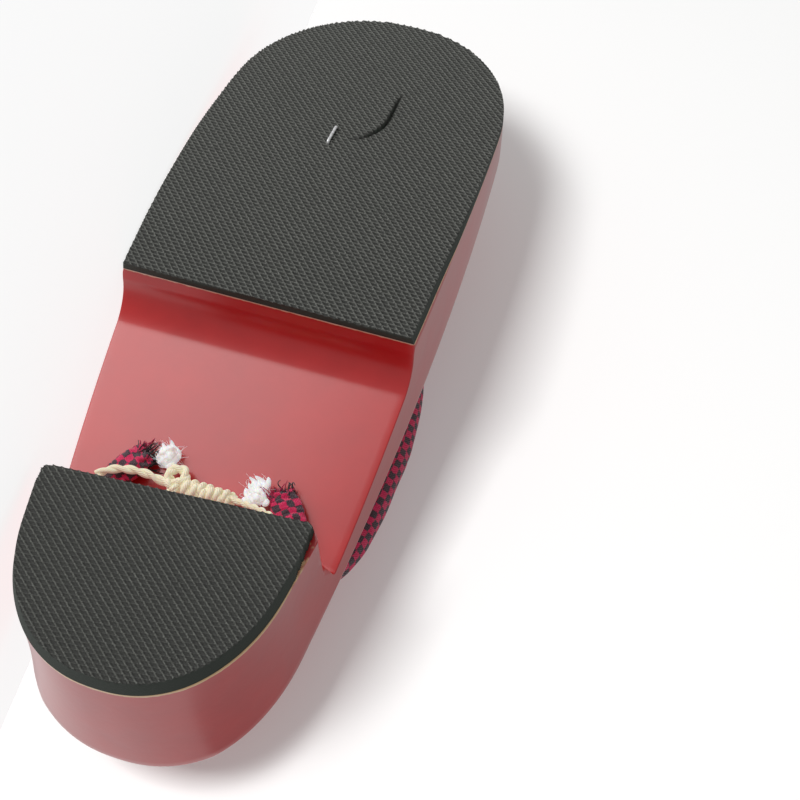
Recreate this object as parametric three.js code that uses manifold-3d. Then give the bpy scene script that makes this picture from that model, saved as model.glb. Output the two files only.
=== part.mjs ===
import * as THREE from 'three';
import Module from 'manifold-3d';

// A geta sandal, in millimetres. The pieces are drawn standing: x to the wearer's right, y to the toe,
// z up, with the back of the sole at y = 0 and the ground at z = 0. The sandal is then laid on its side.

const gap = 0.3;
const soleLength = 235;
const halfWidth = { heel: 28.4, middle: 41.9, toe: 36.8 };
const heelRound = { length: 33.6, power: 2.29 };
const toeRound = { length: 42, power: 2.18 };
const footbed = { heel: 43.8, middle: 28.6, toe: 32.2, edgeRadius: 2.2 };
const flare = { heelSheet: 1.1, toeSheet: 0.7, heelTop: 4.8, toeTop: -1, power: 1.9, fullAt: 20 };
const backLean = { reach: 37, sheet: 1.4, top: 6.9 };
const toeSpring = { start: 128.3, rise: 19, power: 1.49, slopeBeyond: 0.2 };
const sheet = { heel: 4.4, front: 2.9 };
const heelBlock = { end: 51.1, skew: 0.065, lean: 1.5, filletDrop: 4.4, filletRun: 1.6 };
const frontBlock = { start: 112, bend: [109.3, 12.8], face: [110.7, 6.1] };
const arch = { heelHeight: 27.3, ballHeight: 13.2, filletFrom: 102.5 };
const rearHole = { x: 27.2, y: 57.5, radius: 4.4 };
const frontHole = { y: 186, radius: 5.1 };
const rest = { leanDegrees: 2.58, turnDegrees: 2.18 };

// How finely the sole's sides, its toe spring and the tubes are cut up.
const stations = { side: 40, wall: 4, tread: 18 };
const facets = { fillet: 7, hole: 20, strap: 14 };

// How far drawn shapes run past the sole before they are cut to it.
const beyond = { side: 70, end: 30, below: 20, toe: 6, bore: 60 };

const colours = {
  lacquer: 0x8c1418,
  rubber: 0x3c3e39,
  cloth: 0x8a1738,
  cotton: 0xf2efe8,
  cord: 0xe8d9a6,
  wire: 0xd8d8da,
};

const wasm = await Module();
wasm.setup();

function clamp01(t) {
  return Math.min(1, Math.max(0, t));
}

function lerp(a, b, t) {
  return a + (b - a) * t;
}

// A parabola through three values, at the heel, the middle and the toe.
function alongSole(values, y) {
  const t = y / soleLength;
  const heelPart = values.heel * (1 - t) * (1 - 2 * t);
  const toePart = values.toe * t * (2 * t - 1);
  return heelPart + values.middle * 4 * t * (1 - t) + toePart;
}

function roundOff(distance, round) {
  return (1 - clamp01(1 - distance / round.length) ** round.power) ** (1 / round.power);
}

function soleHalfWidth(y) {
  return alongSole(halfWidth, y) * roundOff(y, heelRound) * roundOff(soleLength - y, toeRound);
}

function footbedHeight(y) {
  return alongSole(footbed, y);
}

function treadHeight(y) {
  const along = clamp01((y - toeSpring.start) / (soleLength - toeSpring.start));
  return toeSpring.rise * along ** toeSpring.power + Math.max(0, y - soleLength) * toeSpring.slopeBeyond;
}

// A share of the wall's slope: from the ground to the top of the heel sheet, then on to the footbed.
function wallShare(y, z, atSheet, atTop, power = 1) {
  if (z <= sheet.heel) {
    return atSheet * z / sheet.heel;
  }
  return lerp(atSheet, atTop, ((z - sheet.heel) / (footbedHeight(y) - sheet.heel)) ** power);
}

function wallPoint(y, side, z) {
  const along = y / soleLength;
  const atSheet = lerp(flare.heelSheet, flare.toeSheet, along);
  const atTop = lerp(flare.heelTop, flare.toeTop, along);
  const outward = wallShare(y, z, atSheet, atTop, flare.power) * clamp01(soleHalfWidth(y) / flare.fullAt);
  const backward = wallShare(y, z, backLean.sheet, backLean.top) * clamp01(1 - y / backLean.reach);
  return new THREE.Vector3(side * (soleHalfWidth(y) + outward), y - backward, z);
}

// One closed ring round the sole: up the right side from the heel, back down the left, moved in by inset.
function soleRing(height, inset) {
  const ring = [];
  for (let i = 0; i < 2 * stations.side; i += 1) {
    const side = i <= stations.side ? 1 : -1;
    const step = i <= stations.side ? i : 2 * stations.side - i;
    const y = soleLength * (0.5 - 0.5 * Math.cos(Math.PI * step / stations.side));
    ring.push(wallPoint(y, side, height(y)));
  }
  return ring.map((point, i) => {
    const before = ring[(i + ring.length - 1) % ring.length];
    const after = ring[(i + 1) % ring.length];
    const outward = new THREE.Vector3(after.y - before.y, before.x - after.x, 0).normalize();
    return point.clone().addScaledVector(outward, -inset);
  });
}

function geometryOf(points, triangles) {
  const numbers = points.flatMap((p) => [p.x, p.y, p.z]);
  const geometry = new THREE.BufferGeometry();
  geometry.setAttribute('position', new THREE.Float32BufferAttribute(numbers, 3));
  geometry.setIndex(triangles);
  return geometry;
}

function stitchRings(rings) {
  const count = rings[0].length;
  const triangles = [];
  for (let k = 0; k + 1 < rings.length; k += 1) {
    for (let i = 0; i < count; i += 1) {
      const a = k * count + i;
      const b = k * count + (i + 1) % count;
      triangles.push(a, b, b + count, a, b + count, a + count);
    }
  }
  return triangles;
}

// Rings from the bottom up, closed below and above by a ladder between the two sides.
function ladderSolid(rings) {
  const triangles = stitchRings(rings);
  const count = rings[0].length;
  const top = (rings.length - 1) * count;
  for (let i = 0; i < count / 2; i += 1) {
    const right = [i, i + 1];
    const left = [(count - i) % count, count - i - 1];
    if (i > 0) {
      triangles.push(left[0], right[1], right[0]);
      triangles.push(top + left[0], top + right[0], top + right[1]);
    }
    if (i < count / 2 - 1) {
      triangles.push(left[0], left[1], right[1]);
      triangles.push(top + left[0], top + right[1], top + left[1]);
    }
  }
  return geometryOf(rings.flat(), triangles);
}

// Rings closed at both ends by a fan from their first point.
function fanSolid(rings) {
  const count = rings[0].length;
  const triangles = stitchRings(rings);
  const last = (rings.length - 1) * count;
  for (let i = 1; i + 1 < count; i += 1) {
    triangles.push(0, i + 1, i);
    triangles.push(last, last + i, last + i + 1);
  }
  return geometryOf(rings.flat(), triangles);
}

function solid(geometry) {
  const position = geometry.getAttribute('position');
  const keys = new Map();
  const vertices = [];
  const remap = [];
  for (let i = 0; i < position.count; i += 1) {
    const p = [position.getX(i), position.getY(i), position.getZ(i)];
    const key = p.map((v) => Math.round(v * 1e4)).join();
    if (!keys.has(key)) {
      keys.set(key, keys.size);
      vertices.push(...p);
    }
    remap.push(keys.get(key));
  }
  const order = geometry.index ? Array.from(geometry.index.array) : remap.map((_, i) => i);
  const triangles = [];
  for (let i = 0; i < order.length; i += 3) {
    const corner = [remap[order[i]], remap[order[i + 1]], remap[order[i + 2]]];
    if (corner[0] !== corner[1] && corner[1] !== corner[2] && corner[2] !== corner[0]) {
      triangles.push(...corner);
    }
  }
  return new wasm.Manifold(new wasm.Mesh({
    numProp: 3,
    vertProperties: new Float32Array(vertices),
    triVerts: new Uint32Array(triangles),
  }));
}

function meshOf(name, body, colour, roughness, metalness = 0) {
  const result = body.getMesh();
  const points = new Float32Array(result.vertProperties);
  const geometry = new THREE.BufferGeometry();
  geometry.setAttribute('position', new THREE.BufferAttribute(points, 3));
  geometry.setIndex(new THREE.BufferAttribute(new Uint32Array(result.triVerts), 1));
  geometry.computeVertexNormals();
  const material = new THREE.MeshStandardMaterial({ color: colour, roughness, metalness });
  const mesh = new THREE.Mesh(geometry, material);
  mesh.name = name;
  return mesh;
}

// The outer form of wood and rubber together, from the ground to the footbed with its rounded edge.
function soleBlank() {
  const radius = footbed.edgeRadius;
  const rings = [soleRing(() => 0, 0)];
  for (let k = 0; k <= stations.wall; k += 1) {
    rings.push(soleRing((y) => lerp(sheet.heel, footbedHeight(y) - radius, k / stations.wall), 0));
  }
  for (const degrees of [30, 60, 90]) {
    const angle = THREE.MathUtils.degToRad(degrees);
    const height = (y) => footbedHeight(y) - radius * (1 - Math.sin(angle));
    rings.push(soleRing(height, radius * (1 - Math.cos(angle))));
  }
  return solid(ladderSolid(rings));
}

// A shape drawn in (y, z) and carried along x by half its depth to each side.
function carriedAcross(shape, depth) {
  const options = { depth, bevelEnabled: false, curveSegments: facets.fillet };
  const geometry = new THREE.ExtrudeGeometry(shape, options);
  geometry.translate(0, 0, -depth / 2);
  return geometry.applyMatrix4(new THREE.Matrix4().set(0, 0, 1, 0, 1, 0, 0, 0, 0, 1, 0, 0, 0, 0, 0, 1));
}

// A side profile across the whole sole, slanted like the heel block's front edge.
function acrossSole(shape) {
  const geometry = carriedAcross(shape, 2 * beyond.side);
  const position = geometry.getAttribute('position');
  for (let i = 0; i < position.count; i += 1) {
    const y = position.getY(i);
    const share = clamp01((frontBlock.start - y) / (frontBlock.start - heelBlock.end));
    position.setY(i, y - heelBlock.skew * position.getX(i) * share * clamp01(y / heelBlock.end));
  }
  return solid(geometry);
}

function treadStations() {
  const reach = soleLength + beyond.toe - toeSpring.start;
  const steps = stations.tread;
  return Array.from({ length: steps + 1 }, (_, i) => toeSpring.start + reach * i / steps);
}

function ceilingHeight(y) {
  return lerp(arch.heelHeight, arch.ballHeight, (y - heelBlock.end) / (frontBlock.start - heelBlock.end));
}

// Everything under the wood: below the two sheets' tops, and the arch between the blocks.
function underWood() {
  const shape = new THREE.Shape();
  const faceTop = [heelBlock.end - heelBlock.lean, arch.heelHeight - heelBlock.filletDrop];
  const filletEnd = faceTop[0] + heelBlock.filletRun;
  shape.moveTo(-beyond.end, -beyond.below);
  shape.lineTo(-beyond.end, sheet.heel);
  shape.lineTo(heelBlock.end, sheet.heel);
  shape.lineTo(...faceTop);
  shape.quadraticCurveTo(faceTop[0], ceilingHeight(faceTop[0]), filletEnd, ceilingHeight(filletEnd));
  shape.lineTo(arch.filletFrom, ceilingHeight(arch.filletFrom));
  shape.quadraticCurveTo(...frontBlock.bend, ...frontBlock.face);
  shape.lineTo(frontBlock.start, sheet.front);
  for (const y of treadStations()) {
    shape.lineTo(y, treadHeight(y) + sheet.front);
  }
  shape.lineTo(soleLength + beyond.end, -beyond.below);
  return acrossSole(shape);
}

// The heel block's two front corners are rounded off in plan; the radius changes with the height.
const cornerRows = [
  { z: -2, radius: 2.8 },
  { z: 4.4, radius: 3.8 },
  { z: 21, radius: 4.6 },
  { z: 26.5, radius: 0.8 },
];

function cornerCut(side) {
  const spare = 6;
  const rings = cornerRows.map(({ z, radius }) => {
    const lean = heelBlock.lean * clamp01((z - sheet.heel) / (arch.heelHeight - sheet.heel));
    const wall = wallPoint(heelBlock.end, 1, Math.max(0, z)).x;
    const face = heelBlock.end - lean - side * heelBlock.skew * wall;
    const ring = [[wall + spare, face + spare], [wall + spare, face - radius]];
    for (const degrees of [0, 18, 36, 54, 72, 90]) {
      const angle = THREE.MathUtils.degToRad(degrees);
      ring.push([wall - radius * (1 - Math.cos(angle)), face - radius * (1 - Math.sin(angle))]);
    }
    ring.push([wall - radius, face + spare]);
    const points = ring.map(([x, y]) => new THREE.Vector3(side * x, y, z));
    return side > 0 ? points.reverse() : points;
  });
  return solid(fanSolid(rings.map((ring) => (side > 0 ? [ring.at(-1), ...ring.slice(0, -1)] : ring))));
}

function withoutCorners(body) {
  return body.subtract(cornerCut(1)).subtract(cornerCut(-1));
}

function boredHole(x, y, radius) {
  const geometry = new THREE.CylinderGeometry(radius, radius, 2 * beyond.bore, facets.hole);
  geometry.rotateX(Math.PI / 2);
  geometry.translate(x, y, 0);
  return solid(geometry);
}

function dai() {
  const holes = [
    boredHole(rearHole.x, rearHole.y, rearHole.radius),
    boredHole(-rearHole.x, rearHole.y, rearHole.radius),
    boredHole(0, frontHole.y, frontHole.radius),
  ];
  const wood = withoutCorners(soleBlank().subtract(underWood()));
  return meshOf('dai', holes.reduce((rest, hole) => rest.subtract(hole), wood), colours.lacquer, 0.25);
}

function heelRubber() {
  const shape = new THREE.Shape();
  shape.moveTo(-beyond.end, -beyond.below);
  shape.lineTo(heelBlock.end, -beyond.below);
  shape.lineTo(heelBlock.end, sheet.heel - gap);
  shape.lineTo(-beyond.end, sheet.heel - gap);
  const body = withoutCorners(soleBlank().intersect(acrossSole(shape)));
  return meshOf('heel_rubber', body, colours.rubber, 0.85);
}

// The staple is bent from wire: a crown along y and two short legs up into the front sheet.
const staple = { x: 4.1, y: 175.5, crown: 8, leg: 1.5, wire: 0.9, proud: 0.9 };

function stapleBody(grow) {
  const level = (y) => treadHeight(y) - staple.proud - grow;
  const reach = staple.crown / 2 + grow;
  const wire = staple.wire + 2 * grow;
  const depth = staple.proud + staple.leg + 2 * grow;
  const back = { y: staple.y - reach, z: level(staple.y - reach) };
  const front = { y: staple.y + reach, z: level(staple.y + reach) };
  const shape = new THREE.Shape();
  shape.moveTo(back.y, back.z);
  shape.lineTo(front.y, front.z);
  shape.lineTo(front.y, front.z + depth);
  shape.lineTo(front.y - wire, front.z + depth);
  shape.lineTo(front.y - wire, front.z + wire);
  shape.lineTo(back.y + wire, back.z + wire);
  shape.lineTo(back.y + wire, back.z + depth);
  shape.lineTo(back.y, back.z + depth);
  return solid(carriedAcross(shape, wire).translate(staple.x, 0, 0));
}

function frontRubber() {
  const shape = new THREE.Shape();
  const top = sheet.front - gap;
  shape.moveTo(frontBlock.start, 0);
  for (const y of treadStations()) {
    shape.lineTo(y, treadHeight(y));
  }
  for (const y of treadStations().reverse()) {
    shape.lineTo(y, treadHeight(y) + top);
  }
  shape.lineTo(frontBlock.start, top);
  const body = soleBlank().intersect(acrossSole(shape)).subtract(stapleBody(gap));
  return meshOf('front_rubber', body, colours.rubber, 0.85);
}

// The values of the rows at a share u of the path's length, eased from each row to the next.
function valuesAlong(rows, marks, u) {
  let row = 0;
  while (row < rows.length - 2 && u > marks[row + 1]) {
    row += 1;
  }
  const share = THREE.MathUtils.smoothstep(u, marks[row], marks[row + 1]);
  return (name) => lerp(rows[row][name], rows[row + 1][name], share);
}

// A strap or cord carried along a smooth path through its rows. Each row gives the middle, the width and
// the thickness there, and the tilt of the wide way about the path, in degrees from level.
function sweep(rows, steps, sides, upward = new THREE.Vector3(0, 0, 1)) {
  const middles = rows.map((row) => new THREE.Vector3(row.x, row.y, row.z));
  const path = new THREE.CatmullRomCurve3(middles, false, 'centripetal');
  const samples = 200;
  const lengths = path.getLengths(samples);
  const marks = rows.map((_, i) => lengths[Math.round(samples * i / (rows.length - 1))] / lengths[samples]);
  const rings = [];
  for (let k = 0; k <= steps; k += 1) {
    const value = valuesAlong(rows, marks, k / steps);
    const middle = path.getPointAt(k / steps);
    const tangent = path.getTangentAt(k / steps);
    const level = new THREE.Vector3().crossVectors(tangent, upward).normalize();
    const wide = level.applyAxisAngle(tangent, THREE.MathUtils.degToRad(value('tilt')));
    const thick = new THREE.Vector3().crossVectors(tangent, wide);
    const ring = [];
    for (let i = 0; i < sides; i += 1) {
      const angle = 2 * Math.PI * i / sides;
      const point = middle.clone();
      point.addScaledVector(wide, value('wide') / 2 * Math.cos(angle));
      point.addScaledVector(thick, value('thick') / 2 * Math.sin(angle));
      ring.push(point);
    }
    rings.push(ring);
  }
  return solid(fanSolid(rings));
}

function mirrored(rows) {
  return rows.map((row) => ({ ...row, x: -row.x, tilt: -row.tilt }));
}

// The right arm of the strap, from its rear hole to the front of the sandal.
const armRows = [
  { x: 26.9, y: 57.4, z: 29.2, wide: 6.9, thick: 6.9, tilt: 0 },
  { x: 27.4, y: 57.6, z: 35, wide: 7.2, thick: 7.2, tilt: 0 },
  { x: 33.4, y: 60, z: 41.9, wide: 11.5, thick: 9, tilt: 62 },
  { x: 36, y: 70.9, z: 44.5, wide: 14.5, thick: 10, tilt: 60 },
  { x: 36.4, y: 86, z: 45.4, wide: 16.5, thick: 10.5, tilt: 54 },
  { x: 35.8, y: 103, z: 47.7, wide: 17, thick: 10.5, tilt: 48 },
  { x: 32.6, y: 121, z: 50, wide: 17, thick: 10.5, tilt: 42 },
  { x: 26.4, y: 138, z: 51.5, wide: 16.5, thick: 10.5, tilt: 36 },
  { x: 18.2, y: 154, z: 51.2, wide: 15.5, thick: 10, tilt: 34 },
  { x: 9, y: 167.5, z: 49.2, wide: 14, thick: 9.5, tilt: 36 },
  { x: -0.5, y: 175, z: 47.4, wide: 12.5, thick: 9, tilt: 40 },
];

function hanao() {
  const right = sweep(armRows, 34, facets.strap);
  const left = sweep(mirrored(armRows), 34, facets.strap);
  return meshOf('hanao', right.add(left), colours.cloth, 0.9);
}

function roundRows(points, width) {
  return points.map(([x, y, z]) => ({ x, y, z, wide: width, thick: width, tilt: 0 }));
}

// The toe loop stays in the sandal's middle plane: its points are (y, z), up one side and down the other.
const loopWidth = 4.4;
const loopRoute = [
  [188.5, 14], [188.5, 26], [188.2, 34], [186, 41], [182.8, 47], [180.8, 51.8],
  [176.6, 56], [170.5, 56.8], [165.4, 54.2], [164, 49.5], [165.6, 44.4], [170, 40.6],
  [176, 38.4], [181, 35.4], [183.4, 30], [183.5, 22], [183.5, 14],
];

function toeLoop() {
  const rows = roundRows(loopRoute.map(([y, z]) => [0, y, z]), loopWidth);
  return meshOf('toe_loop', sweep(rows, 44, 10, new THREE.Vector3(1, 0, 0)), colours.cloth, 0.9);
}

// The cloth ends under the arch, from the mouths of the rear holes inward and forward.
const strapEnds = {
  strap_end_right: [
    { x: 27.2, y: 57.5, z: 28.2, wide: 7, thick: 7, tilt: 0 },
    { x: 27.1, y: 57.8, z: 25.4, wide: 7, thick: 6.4, tilt: 0 },
    { x: 25.6, y: 59.8, z: 22.4, wide: 7.8, thick: 5, tilt: 0 },
    { x: 23, y: 63.4, z: 21.2, wide: 8.4, thick: 4.4, tilt: 0 },
    { x: 19.4, y: 68.2, z: 20.4, wide: 6.6, thick: 4, tilt: 0 },
  ],
  strap_end_left: [
    { x: -27.2, y: 57.5, z: 28.2, wide: 7, thick: 7, tilt: 0 },
    { x: -27.1, y: 57.8, z: 25.4, wide: 7, thick: 6.4, tilt: 0 },
    { x: -25.4, y: 60.2, z: 22.4, wide: 7.8, thick: 5, tilt: 0 },
    { x: -22.4, y: 64, z: 21.6, wide: 8.6, thick: 4.4, tilt: 0 },
    { x: -19.2, y: 67.8, z: 21, wide: 7, thick: 4, tilt: 0 },
  ],
};

function strapEnd(name) {
  const rows = strapEnds[name];
  const upward = new THREE.Vector3(-0.6 * Math.sign(rows[0].x), 0.75, 1);
  return meshOf(name, sweep(rows, 14, 12, upward), colours.cloth, 0.9);
}

// Cotton filling: a lump whose surface swells and dips a little.
const waddings = {
  wadding_right: { x: 14, y: 69.2, z: 19.9, size: [3.2, 3.6, 2.7] },
  wadding_left: { x: -13, y: 66.3, z: 20.8, size: [3.2, 3.4, 2.8] },
};

function wadding(name) {
  const { x, y, z, size } = waddings[name];
  const geometry = new THREE.SphereGeometry(1, 14, 10);
  const position = geometry.getAttribute('position');
  for (let i = 0; i < position.count; i += 1) {
    const point = new THREE.Vector3().fromBufferAttribute(position, i);
    const swell = 1 + 0.1 * Math.sin(4 * point.x + 2 * x) * Math.cos(5 * point.y + x);
    point.multiplyScalar(swell);
    position.setXYZ(i, point.x * size[0] + x, point.y * size[1] + y, point.z * size[2] + z);
  }
  return meshOf(name, solid(geometry), colours.cotton, 1);
}

// The cord that ties the ends together: its two runs, the knot, and the turns wound round its middle.
const cordRuns = [
  {
    width: 2.5,
    route: [
      [28.8, 57, 17.6], [26.4, 59.2, 17.6], [23.2, 60.6, 17.7], [19.4, 61.4, 18],
      [15.4, 61.6, 18.7], [11.6, 61.2, 19.8], [8.6, 60.8, 20.5],
    ],
  },
  {
    width: 1.9,
    route: [
      [-7.4, 62.2, 20.6], [-11.5, 61.6, 19.7], [-15.9, 61, 18.9],
      [-20.4, 59.6, 18.1], [-25, 57.6, 17.6],
    ],
  },
];
const winding = {
  from: [6.2, 61.3, 20.9],
  to: [-8.2, 62.3, 20.9],
  radii: [3.3, 2.5],
  groove: 0.45,
  turns: 6,
};
const knot = { x: 8.4, y: 60.9, z: 20.4, radii: [3, 3, 2.8] };
const cordLoop = { x: 8.7, y: 64, z: 19.5, radius: 2.25, tube: 1.1 };

function windingBody() {
  const from = new THREE.Vector3(...winding.from);
  const to = new THREE.Vector3(...winding.to);
  const length = from.distanceTo(to);
  const profile = [new THREE.Vector2(0, 0)];
  const steps = 2 * winding.turns;
  for (let k = 0; k <= steps; k += 1) {
    const radius = lerp(...winding.radii, k / steps) - (k % 2 === 0 ? winding.groove : 0);
    profile.push(new THREE.Vector2(radius, length * k / steps));
  }
  profile.push(new THREE.Vector2(0, length));
  const geometry = new THREE.LatheGeometry(profile, 14);
  const along = to.clone().sub(from).normalize();
  geometry.applyQuaternion(new THREE.Quaternion().setFromUnitVectors(new THREE.Vector3(0, 1, 0), along));
  return solid(geometry.translate(from.x, from.y, from.z));
}

function tieCord() {
  const ball = new THREE.SphereGeometry(1, 14, 10).scale(...knot.radii).translate(knot.x, knot.y, knot.z);
  const loop = new THREE.TorusGeometry(cordLoop.radius, cordLoop.tube, 8, 14);
  loop.translate(cordLoop.x, cordLoop.y, cordLoop.z);
  const middle = windingBody().add(solid(ball)).add(solid(loop));
  const runs = cordRuns.map(({ width, route }) => sweep(roundRows(route, width), 16, 8));
  return meshOf('tie_cord', middle.add(runs[0]).add(runs[1]), colours.cord, 0.8);
}

const sandal = new THREE.Group();
sandal.add(dai(), heelRubber(), frontRubber(), hanao(), toeLoop());
for (const name of Object.keys(strapEnds)) {
  sandal.add(strapEnd(name));
}
for (const name of Object.keys(waddings)) {
  sandal.add(wadding(name));
}
sandal.add(tieCord(), meshOf('staple', stapleBody(0), colours.wire, 0.3, 1));

// Laid on the wearer's right side: toe to -x, footbed to +y, left side up. The small turns bring the
// edge of the footbed and the edge of the front block onto the floor together.
const laid = new THREE.Matrix4().set(0, -1, 0, 0, 0, 0, 1, 0, -1, 0, 0, 0, 0, 0, 0, 1);
const lean = new THREE.Matrix4().makeRotationX(THREE.MathUtils.degToRad(rest.leanDegrees));
const turn = new THREE.Matrix4().makeRotationY(THREE.MathUtils.degToRad(rest.turnDegrees));
sandal.quaternion.setFromRotationMatrix(lean.multiply(turn).multiply(laid));
sandal.updateMatrixWorld(true);
const box = new THREE.Box3().setFromObject(sandal, true);
const middle = box.getCenter(new THREE.Vector3());
sandal.position.set(-middle.x, -middle.y, -box.min.z);

const part = new THREE.Group();
part.add(sandal);

export default part;
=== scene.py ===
import bmesh
import bpy
import math
import numpy as np
from mathutils import Matrix, Vector


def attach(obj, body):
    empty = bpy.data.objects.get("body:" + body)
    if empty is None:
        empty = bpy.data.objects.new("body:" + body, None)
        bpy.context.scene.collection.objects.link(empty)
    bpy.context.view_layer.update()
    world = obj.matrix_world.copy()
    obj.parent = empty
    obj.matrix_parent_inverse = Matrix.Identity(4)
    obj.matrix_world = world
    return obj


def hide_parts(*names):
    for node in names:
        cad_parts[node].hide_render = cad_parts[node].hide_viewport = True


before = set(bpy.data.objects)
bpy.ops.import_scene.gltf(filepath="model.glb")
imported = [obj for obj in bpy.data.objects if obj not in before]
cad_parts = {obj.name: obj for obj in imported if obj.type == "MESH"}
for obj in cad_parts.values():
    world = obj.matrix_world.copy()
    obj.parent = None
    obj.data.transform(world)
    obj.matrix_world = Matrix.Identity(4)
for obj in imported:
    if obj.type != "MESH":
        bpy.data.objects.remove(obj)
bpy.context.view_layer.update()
scene = bpy.context.scene

# Shapes are worked out standing, in millimetres: x to the wearer's right, y to the toe, z up from the ground.
# laid says where those directions, and the back of the sole, come to lie in the frame.
laid = {
    "right": (-0.038039, 0.044982, -0.998263),
    "toe": (-0.999276, -0.001712, 0.038000),
    "up": (0.0, 0.998986, 0.045014),
    "heel": (114.120899, -28.309528, 38.062555),
}
laidTurn = np.array([laid["right"], laid["toe"], laid["up"]])

# where the photo was taken from, and its right and up, as seen from the standing sandal
view = {
    "place": (-123.604, -97.515, -347.160),
    "right": (-0.94663, 0.31994, 0.03908),
    "up": (0.25659, 0.82142, -0.50935),
    "lens": 70.56,
}


def layDown(points):
    return (np.asarray(points, float) @ laidTurn + laid["heel"]) * 0.001


def standUp(points):
    return (np.asarray(points, float) * 1000 - laid["heel"]) @ laidTurn.T


def makeCamera():
    right = Vector(np.array(view["right"]) @ laidTurn).normalized()
    back = right.cross(Vector(np.array(view["up"]) @ laidTurn)).normalized()
    up = back.cross(right)
    data = bpy.data.cameras.new("camera")
    data.sensor_width = 36
    data.lens = view["lens"]
    data.clip_start = 0.01
    camera = bpy.data.objects.new("camera", data)
    scene.collection.objects.link(camera)
    turn = Matrix((right, up, back)).transposed().to_4x4()
    camera.matrix_world = Matrix.Translation(layDown(view["place"])) @ turn
    scene.camera = camera


makeCamera()
print("camera placed")


def newPiece(name, points, faces, material, uv=None, standing=True):
    places = layDown(points) if standing else np.asarray(points, float)
    mesh = bpy.data.meshes.new(name)
    mesh.from_pydata(places.tolist(), [], faces if isinstance(faces, list) else faces.tolist())
    if uv is not None:
        layer = mesh.uv_layers.new(name="UVMap")
        corners = np.empty(len(mesh.loops), np.int32)
        mesh.loops.foreach_get("vertex_index", corners)
        layer.data.foreach_set("uv", np.asarray(uv, np.float32)[corners].ravel())
    mesh.polygons.foreach_set("use_smooth", np.ones(len(mesh.polygons), bool))
    piece = bpy.data.objects.new(name, mesh)
    scene.collection.objects.link(piece)
    if material is not None:
        mesh.materials.append(material)
    return piece


def gridFaces(rows, columns, wrap=True, start=0):
    # quads between neighbouring rows; with wrap the last column meets the first
    r, c = np.meshgrid(np.arange(rows - 1), np.arange(columns if wrap else columns - 1), indexing="ij")
    a = r * columns + c
    b = r * columns + (c + 1) % columns
    return np.stack([a, b, b + columns, a + columns], -1).reshape(-1, 4) + start


def runAlong(path):
    # how far each point lies along the path
    return np.concatenate([[0], np.cumsum(np.linalg.norm(np.diff(path, axis=0), axis=1))])


def smoothPath(points, count):
    # A curve through all the points, centripetal: each span is a cubic whose end slopes come from the
    # neighbouring points, weighted by the square roots of their distances. It gives count points, evenly
    # spaced, the share of the length at which each given point lies, and the length.
    p = np.asarray(points, float)
    p = np.vstack([2 * p[0] - p[1], p, 2 * p[-1] - p[-2]])
    gaps = np.maximum(np.linalg.norm(np.diff(p, axis=0), axis=1) ** 0.5, 1e-4)
    p0, p1, p2, p3 = p[:-3], p[1:-2], p[2:-1], p[3:]
    g0, g1, g2 = gaps[:-2, None], gaps[1:-1, None], gaps[2:, None]
    slope1 = ((p1 - p0) / g0 - (p2 - p0) / (g0 + g1) + (p2 - p1) / g1) * g1
    slope2 = ((p2 - p1) / g1 - (p3 - p1) / (g1 + g2) + (p3 - p2) / g2) * g1
    perSpan = 40
    t = np.linspace(0, 1, perSpan + 1)[:-1][None, :, None]
    a, b, s1, s2 = p1[:, None], p2[:, None], slope1[:, None], slope2[:, None]
    curve = a + s1 * t + (3 * (b - a) - 2 * s1 - s2) * t ** 2 + (2 * (a - b) + s1 + s2) * t ** 3
    curve = np.vstack([curve.reshape(-1, 3), p[-2]])
    run = runAlong(curve)
    even = np.linspace(0, run[-1], count)
    marks = run[::perSpan] / run[-1]
    return np.stack([np.interp(even, run, curve[:, k]) for k in range(3)], -1), marks, run[-1]


def unit(v):
    return v / np.maximum(np.linalg.norm(v, axis=-1, keepdims=True), 1e-9)


def alongRows(marks, values, count):
    # values eased between the rows' own places along the path
    u = np.linspace(0, 1, count)
    row = np.clip(np.searchsorted(marks, u, side="right") - 1, 0, len(marks) - 2)
    share = np.clip((u - marks[row]) / (marks[row + 1] - marks[row]), 0, 1)
    share = share * share * (3 - 2 * share)
    values = np.asarray(values, float)
    return values[row] + (values[row + 1] - values[row]) * share


def pathFrame(path, upward=(0, 0, 1), tilt=0.0):
    # the tangent; the wide way, tangent x upward turned about the tangent by tilt degrees; the thick way
    tangent = unit(np.gradient(path, axis=0))
    wide = unit(np.cross(tangent, np.broadcast_to(upward, tangent.shape)))
    other = np.cross(tangent, wide)
    turn = np.radians(np.broadcast_to(tilt, len(path)))[:, None]
    wide = wide * np.cos(turn) + other * np.sin(turn)
    return tangent, wide, np.cross(tangent, wide)


def capped(rings):
    # closes a tube of rings with a point in the middle of each end
    count, sides = rings.shape[:2]
    points = np.vstack([rings.reshape(-1, 3), rings[0].mean(0), rings[-1].mean(0)])
    first = np.arange(sides)
    after = (first + 1) % sides
    low, high = count * sides, count * sides + 1
    faces = gridFaces(count, sides).tolist()
    faces += np.stack([after, first, np.full(sides, low)], -1).tolist()
    last = (count - 1) * sides
    faces += np.stack([first + last, after + last, np.full(sides, high)], -1).tolist()
    return points, faces


def outward(piece):
    # turns every face outward, once doubles are merged
    mesh = bmesh.new()
    mesh.from_mesh(piece.data)
    bmesh.ops.remove_doubles(mesh, verts=mesh.verts, dist=2e-7)
    bmesh.ops.dissolve_degenerate(mesh, dist=1e-8, edges=mesh.edges)
    bmesh.ops.recalc_face_normals(mesh, faces=mesh.faces)
    mesh.to_mesh(piece.data)
    mesh.free()
    return piece


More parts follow.
